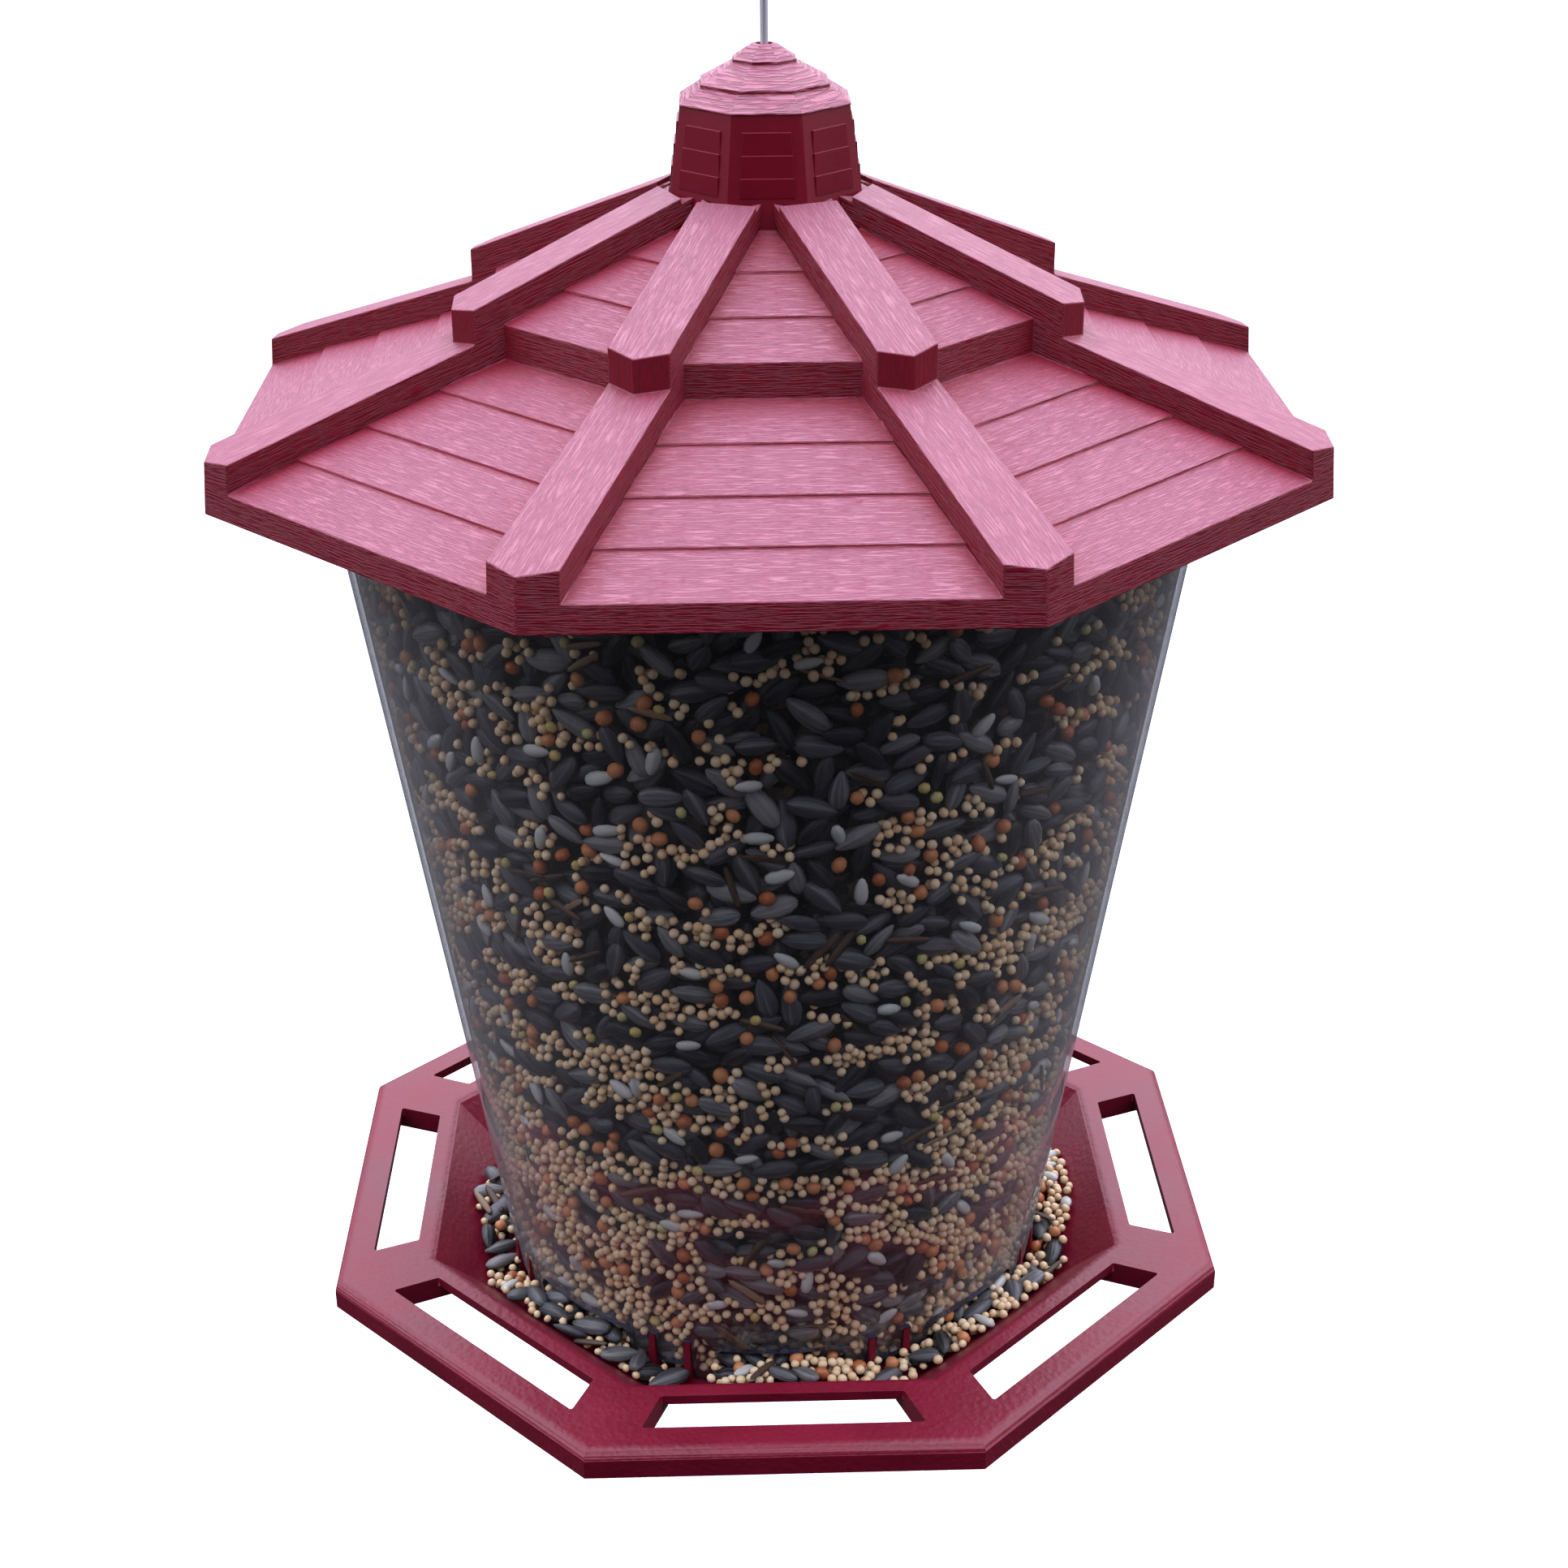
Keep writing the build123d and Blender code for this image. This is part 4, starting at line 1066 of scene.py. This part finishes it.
def seed_mesh(name, laid, skins):
    """One mesh of many seeds, each kind with its own material slot and its own cells of the map."""
    points, corners, counts, slots, uvs = [], [], [], [], []
    base = 0
    for kind_name, kind in KINDS.items():
        chosen = [seed for seed in laid if seed[0] == kind_name]
        if not chosen:
            continue
        centres = np.array([tuple(seed[1]) for seed in chosen])
        axes = np.array([[tuple(axis) for axis in seed[2]] for seed in chosen])
        scales = np.array([seed[3] for seed in chosen])
        shape = kind.points[None, :, :] * scales[:, None, None]
        placed = np.einsum("npc,ncd->npd", shape, axes) + centres[:, None, :]
        offsets = base + np.arange(len(chosen)) * len(kind.points)
        points.append(placed.reshape(-1, 3))
        corners.append((kind.corners[None, :] + offsets[:, None]).reshape(-1))
        counts.append(np.tile(kind.counts, len(chosen)))
        slots.append(np.full(len(kind.counts) * len(chosen), kind.slot))
        cells = np.array([kind.cells[rng.randrange(len(kind.cells))] for _ in chosen])
        corner = np.stack([cells % ATLAS, cells // ATLAS], axis=1)
        inner = kind.uvs * (1.0 - 2.0 * CELL_INSET) + CELL_INSET
        uvs.append(((inner[None, :, :] + corner[:, None, :]) / ATLAS).reshape(-1, 2))
        base += len(kind.points) * len(chosen)
    points, corners, counts = (np.concatenate(part) for part in (points, corners, counts))
    mesh = bpy.data.meshes.new(name)
    mesh.vertices.add(len(points))
    mesh.vertices.foreach_set("co", (points * MM).astype(np.float32).ravel())
    mesh.loops.add(len(corners))
    mesh.loops.foreach_set("vertex_index", corners.astype(np.int32))
    mesh.polygons.add(len(counts))
    starts = np.concatenate([[0], np.cumsum(counts)[:-1]])
    mesh.polygons.foreach_set("loop_start", starts.astype(np.int32))
    for skin in skins:
        mesh.materials.append(skin)
    mesh.polygons.foreach_set("material_index", np.concatenate(slots).astype(np.int32))
    mesh.polygons.foreach_set("use_smooth", np.ones(len(counts), bool))
    layer = mesh.uv_layers.new(name="OFBake")
    layer.data.foreach_set("uv", np.concatenate(uvs).astype(np.float32).ravel())
    mesh.update(calc_edges=True)
    thing = linked(name, mesh)
    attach(thing, "root")


def bed_piece():
    """The dark bed behind the loose seed: an open bell that stays off the baffle and the wire."""
    low, high, pitch = 4.0, HEAP_EDGE - 8.0, 3.0
    heights = [low + pitch * i for i in range(int((high - low) / pitch) + 1)]
    outer = [(jar_radius(z) - JAR_WALL - BED_DEPTH, z) for z in heights]
    top = heights[-1]
    cap = [(radius, top + 8.5 * (1.0 - radius / 100.0)) for radius in range(92, 3, -6)]
    inner = [(radius, z - BED_WALL) for radius, z in reversed(cap)]
    inner += [(radius - BED_WALL, z) for radius, z in reversed(outer)]
    outline = outer + cap + inner
    count = 180
    points = []
    for radius, z in outline:
        for i in range(count):
            turn = math.tau * i / count
            x, y = radius * math.cos(turn), radius * math.sin(turn)
            lump = 0.8 * noise.noise(Vector((x / 3.2, y / 3.2, z / 3.2)))
            swell = 1 + lump / max(radius, 9.0)
            points.append((x * swell, y * swell, z))
    rows = len(outline)
    faces = grid_faces(rows, count, closed_ends=False)
    for i in range(count):
        j = (i + 1) % count
        faces.append(((rows - 1) * count + i, (rows - 1) * count + j, j, i))
    thing = mesh_object("seed_bed", points, faces, [bed_skin()])
    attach(thing, "root")


def seed_pieces():
    """All loose seed, cut into sectors so that no piece is too heavy."""
    wall = Pile()
    fill_wall(wall)
    sectors = [[] for _ in range(SIDES)]
    for seed in wall.laid:
        turn = math.atan2(seed[1].y, seed[1].x)
        sectors[int(math.floor(turn / STEP)) % SIDES].append(seed)
    for number, laid in enumerate(sectors):
        seed_mesh(f"seed_wall_{number}", laid, SEED_SKINS)
    heap = Pile()
    fill_heap(heap)
    seed_mesh("seed_heap", heap.laid, SEED_SKINS)
    dish = Pile()
    fill_dish(dish)
    seed_mesh("seed_dish", dish.laid, SHADED_SPILL_SKINS)
    bed_piece()


seed_pieces()


# ---- stage, light and camera ------------------------------------------

FLOOR_DROP = 160.0  # of the floor below the feeder, which hangs
FLOOR_REACH = 6000.0
CAMERA_AZIMUTH = math.radians(1.59)
CAMERA_ELEVATION = math.radians(25.9)
CAMERA_ROLL = math.radians(-0.27)
CAMERA_DISTANCE = 653.7
CAMERA_AIM = 142.9
CAMERA_ASIDE = 3.8
CAMERA_LENS = 56.5
PALE = (0.93, 0.93, 0.94)
SKY_STRENGTH = 7.6
SKY_TINT = (0.93, 0.98, 1.2)
SKY_STOPS = (
    (0.0, 0.008),
    (0.49, 0.012),
    (0.53, 0.08),
    (0.70, 0.19),
    (0.80, 0.29),
    (0.90, 0.64),
    (1.0, 1.0),
)  # (0.5 + half the sine of the elevation, brightness)


def floor_piece():
    """A plain pale floor."""
    net = Net("pale_floor")
    cloud = net.noise(net.place((3.0, 3.0, 3.0)), detail=2.0)
    tone = net.ramp(cloud, (0.3, (0.60, 0.60, 0.60)), (0.7, (0.63, 0.63, 0.63)))
    solid = net.principled(tone, 0.85, specular=0.1)
    under = net.add("NewGeometry").outputs["Backfacing"]
    clear = net.add("BsdfTransparent").outputs["BSDF"]
    skin = net.finish(net.mix(under, solid, clear))
    corners = ((-1, -1), (1, -1), (1, 1), (-1, 1))
    points = [(FLOOR_REACH * x, FLOOR_REACH * y, -FLOOR_DROP) for x, y in corners]
    floor = mesh_object("floor", points, [(0, 1, 2, 3)], [skin])
    floor.visible_diffuse = False
    floor.visible_glossy = False
    return floor


def sky():
    """Overcast light: bright overhead and behind, dim at the horizon and from below."""
    net = Net("soft_sky", world=True)
    bpy.context.scene.world = net.owner
    parts = net.add("SeparateXYZ", [("Vector", net.add("TexCoord").outputs["Generated"])]).outputs
    stops = ((position, [level * c for c in SKY_TINT]) for position, level in SKY_STOPS)
    tone = net.ramp(net.span(parts["Z"], 0.0, 1.0, -1.0, 1.0), *stops)
    behind = net.span(parts["Y"], 0.24, 1.6, -0.85, 0.85)
    tone = net.add("VectorMath", [(0, tone), ("Scale", behind)], operation="SCALE").outputs["Vector"]
    lit = net.add("Background", [("Color", tone), ("Strength", SKY_STRENGTH)]).outputs["Background"]
    plain = net.add("Background", [("Color", (*PALE, 1.0))]).outputs["Background"]
    seen = net.add("LightPath").outputs["Is Camera Ray"]
    net.add("OutputWorld", [("Surface", net.mix(seen, lit, plain))])


def soft_light(name, place, aim, width, height, power, colour):
    """A rectangular soft light, its place and aim in metres."""
    data = bpy.data.lights.new(name, "AREA")
    data.shape = "RECTANGLE"
    data.size, data.size_y = width, height
    data.energy = power
    data.color = colour
    lamp = linked(name, data)
    lamp.location = place
    lamp.rotation_euler = (Vector(aim) - Vector(place)).to_track_quat("-Z", "Y").to_euler()
    return lamp


def camera():
    """The camera, from its angles round the object."""
    around, above = CAMERA_AZIMUTH, CAMERA_ELEVATION
    level = math.cos(above)
    back = Vector((-math.sin(around) * level, -math.cos(around) * level, math.sin(above)))
    right = Vector((math.cos(around), -math.sin(around), 0.0))
    upward = back.cross(right)
    upright, rolled = turned(upward, right, CAMERA_ROLL)
    aim = right * CAMERA_ASIDE + Vector((0.0, 0.0, CAMERA_AIM))
    data = bpy.data.cameras.new("camera")
    data.lens = CAMERA_LENS
    data.sensor_width = 36.0
    data.clip_start = 0.01
    data.clip_end = 50.0
    thing = linked("camera", data)
    place = (aim + back * CAMERA_DISTANCE) * MM
    rows = [(rolled[n], upright[n], back[n], place[n]) for n in range(3)]
    thing.matrix_world = Matrix([*rows, (0.0, 0.0, 0.0, 1.0)])
    bpy.context.scene.camera = thing


floor_piece()
sky()
soft_light("window_back", (0.4, 1.9, 0.9), (0.0, 0.0, 0.15), 2.2, 0.9, 6.0, (0.95, 0.97, 1.0))
soft_light("window_left", (-1.5, -0.5, 0.9), (0.0, 0.0, 0.15), 0.5, 1.2, 2.2, (1.0, 1.0, 1.0))
soft_light("window_right", (1.6, -0.2, 0.8), (0.0, 0.0, 0.15), 0.35, 1.2, 2.0, (1.0, 1.0, 1.0))
camera()
bpy.context.scene.view_settings.view_transform = "Standard"
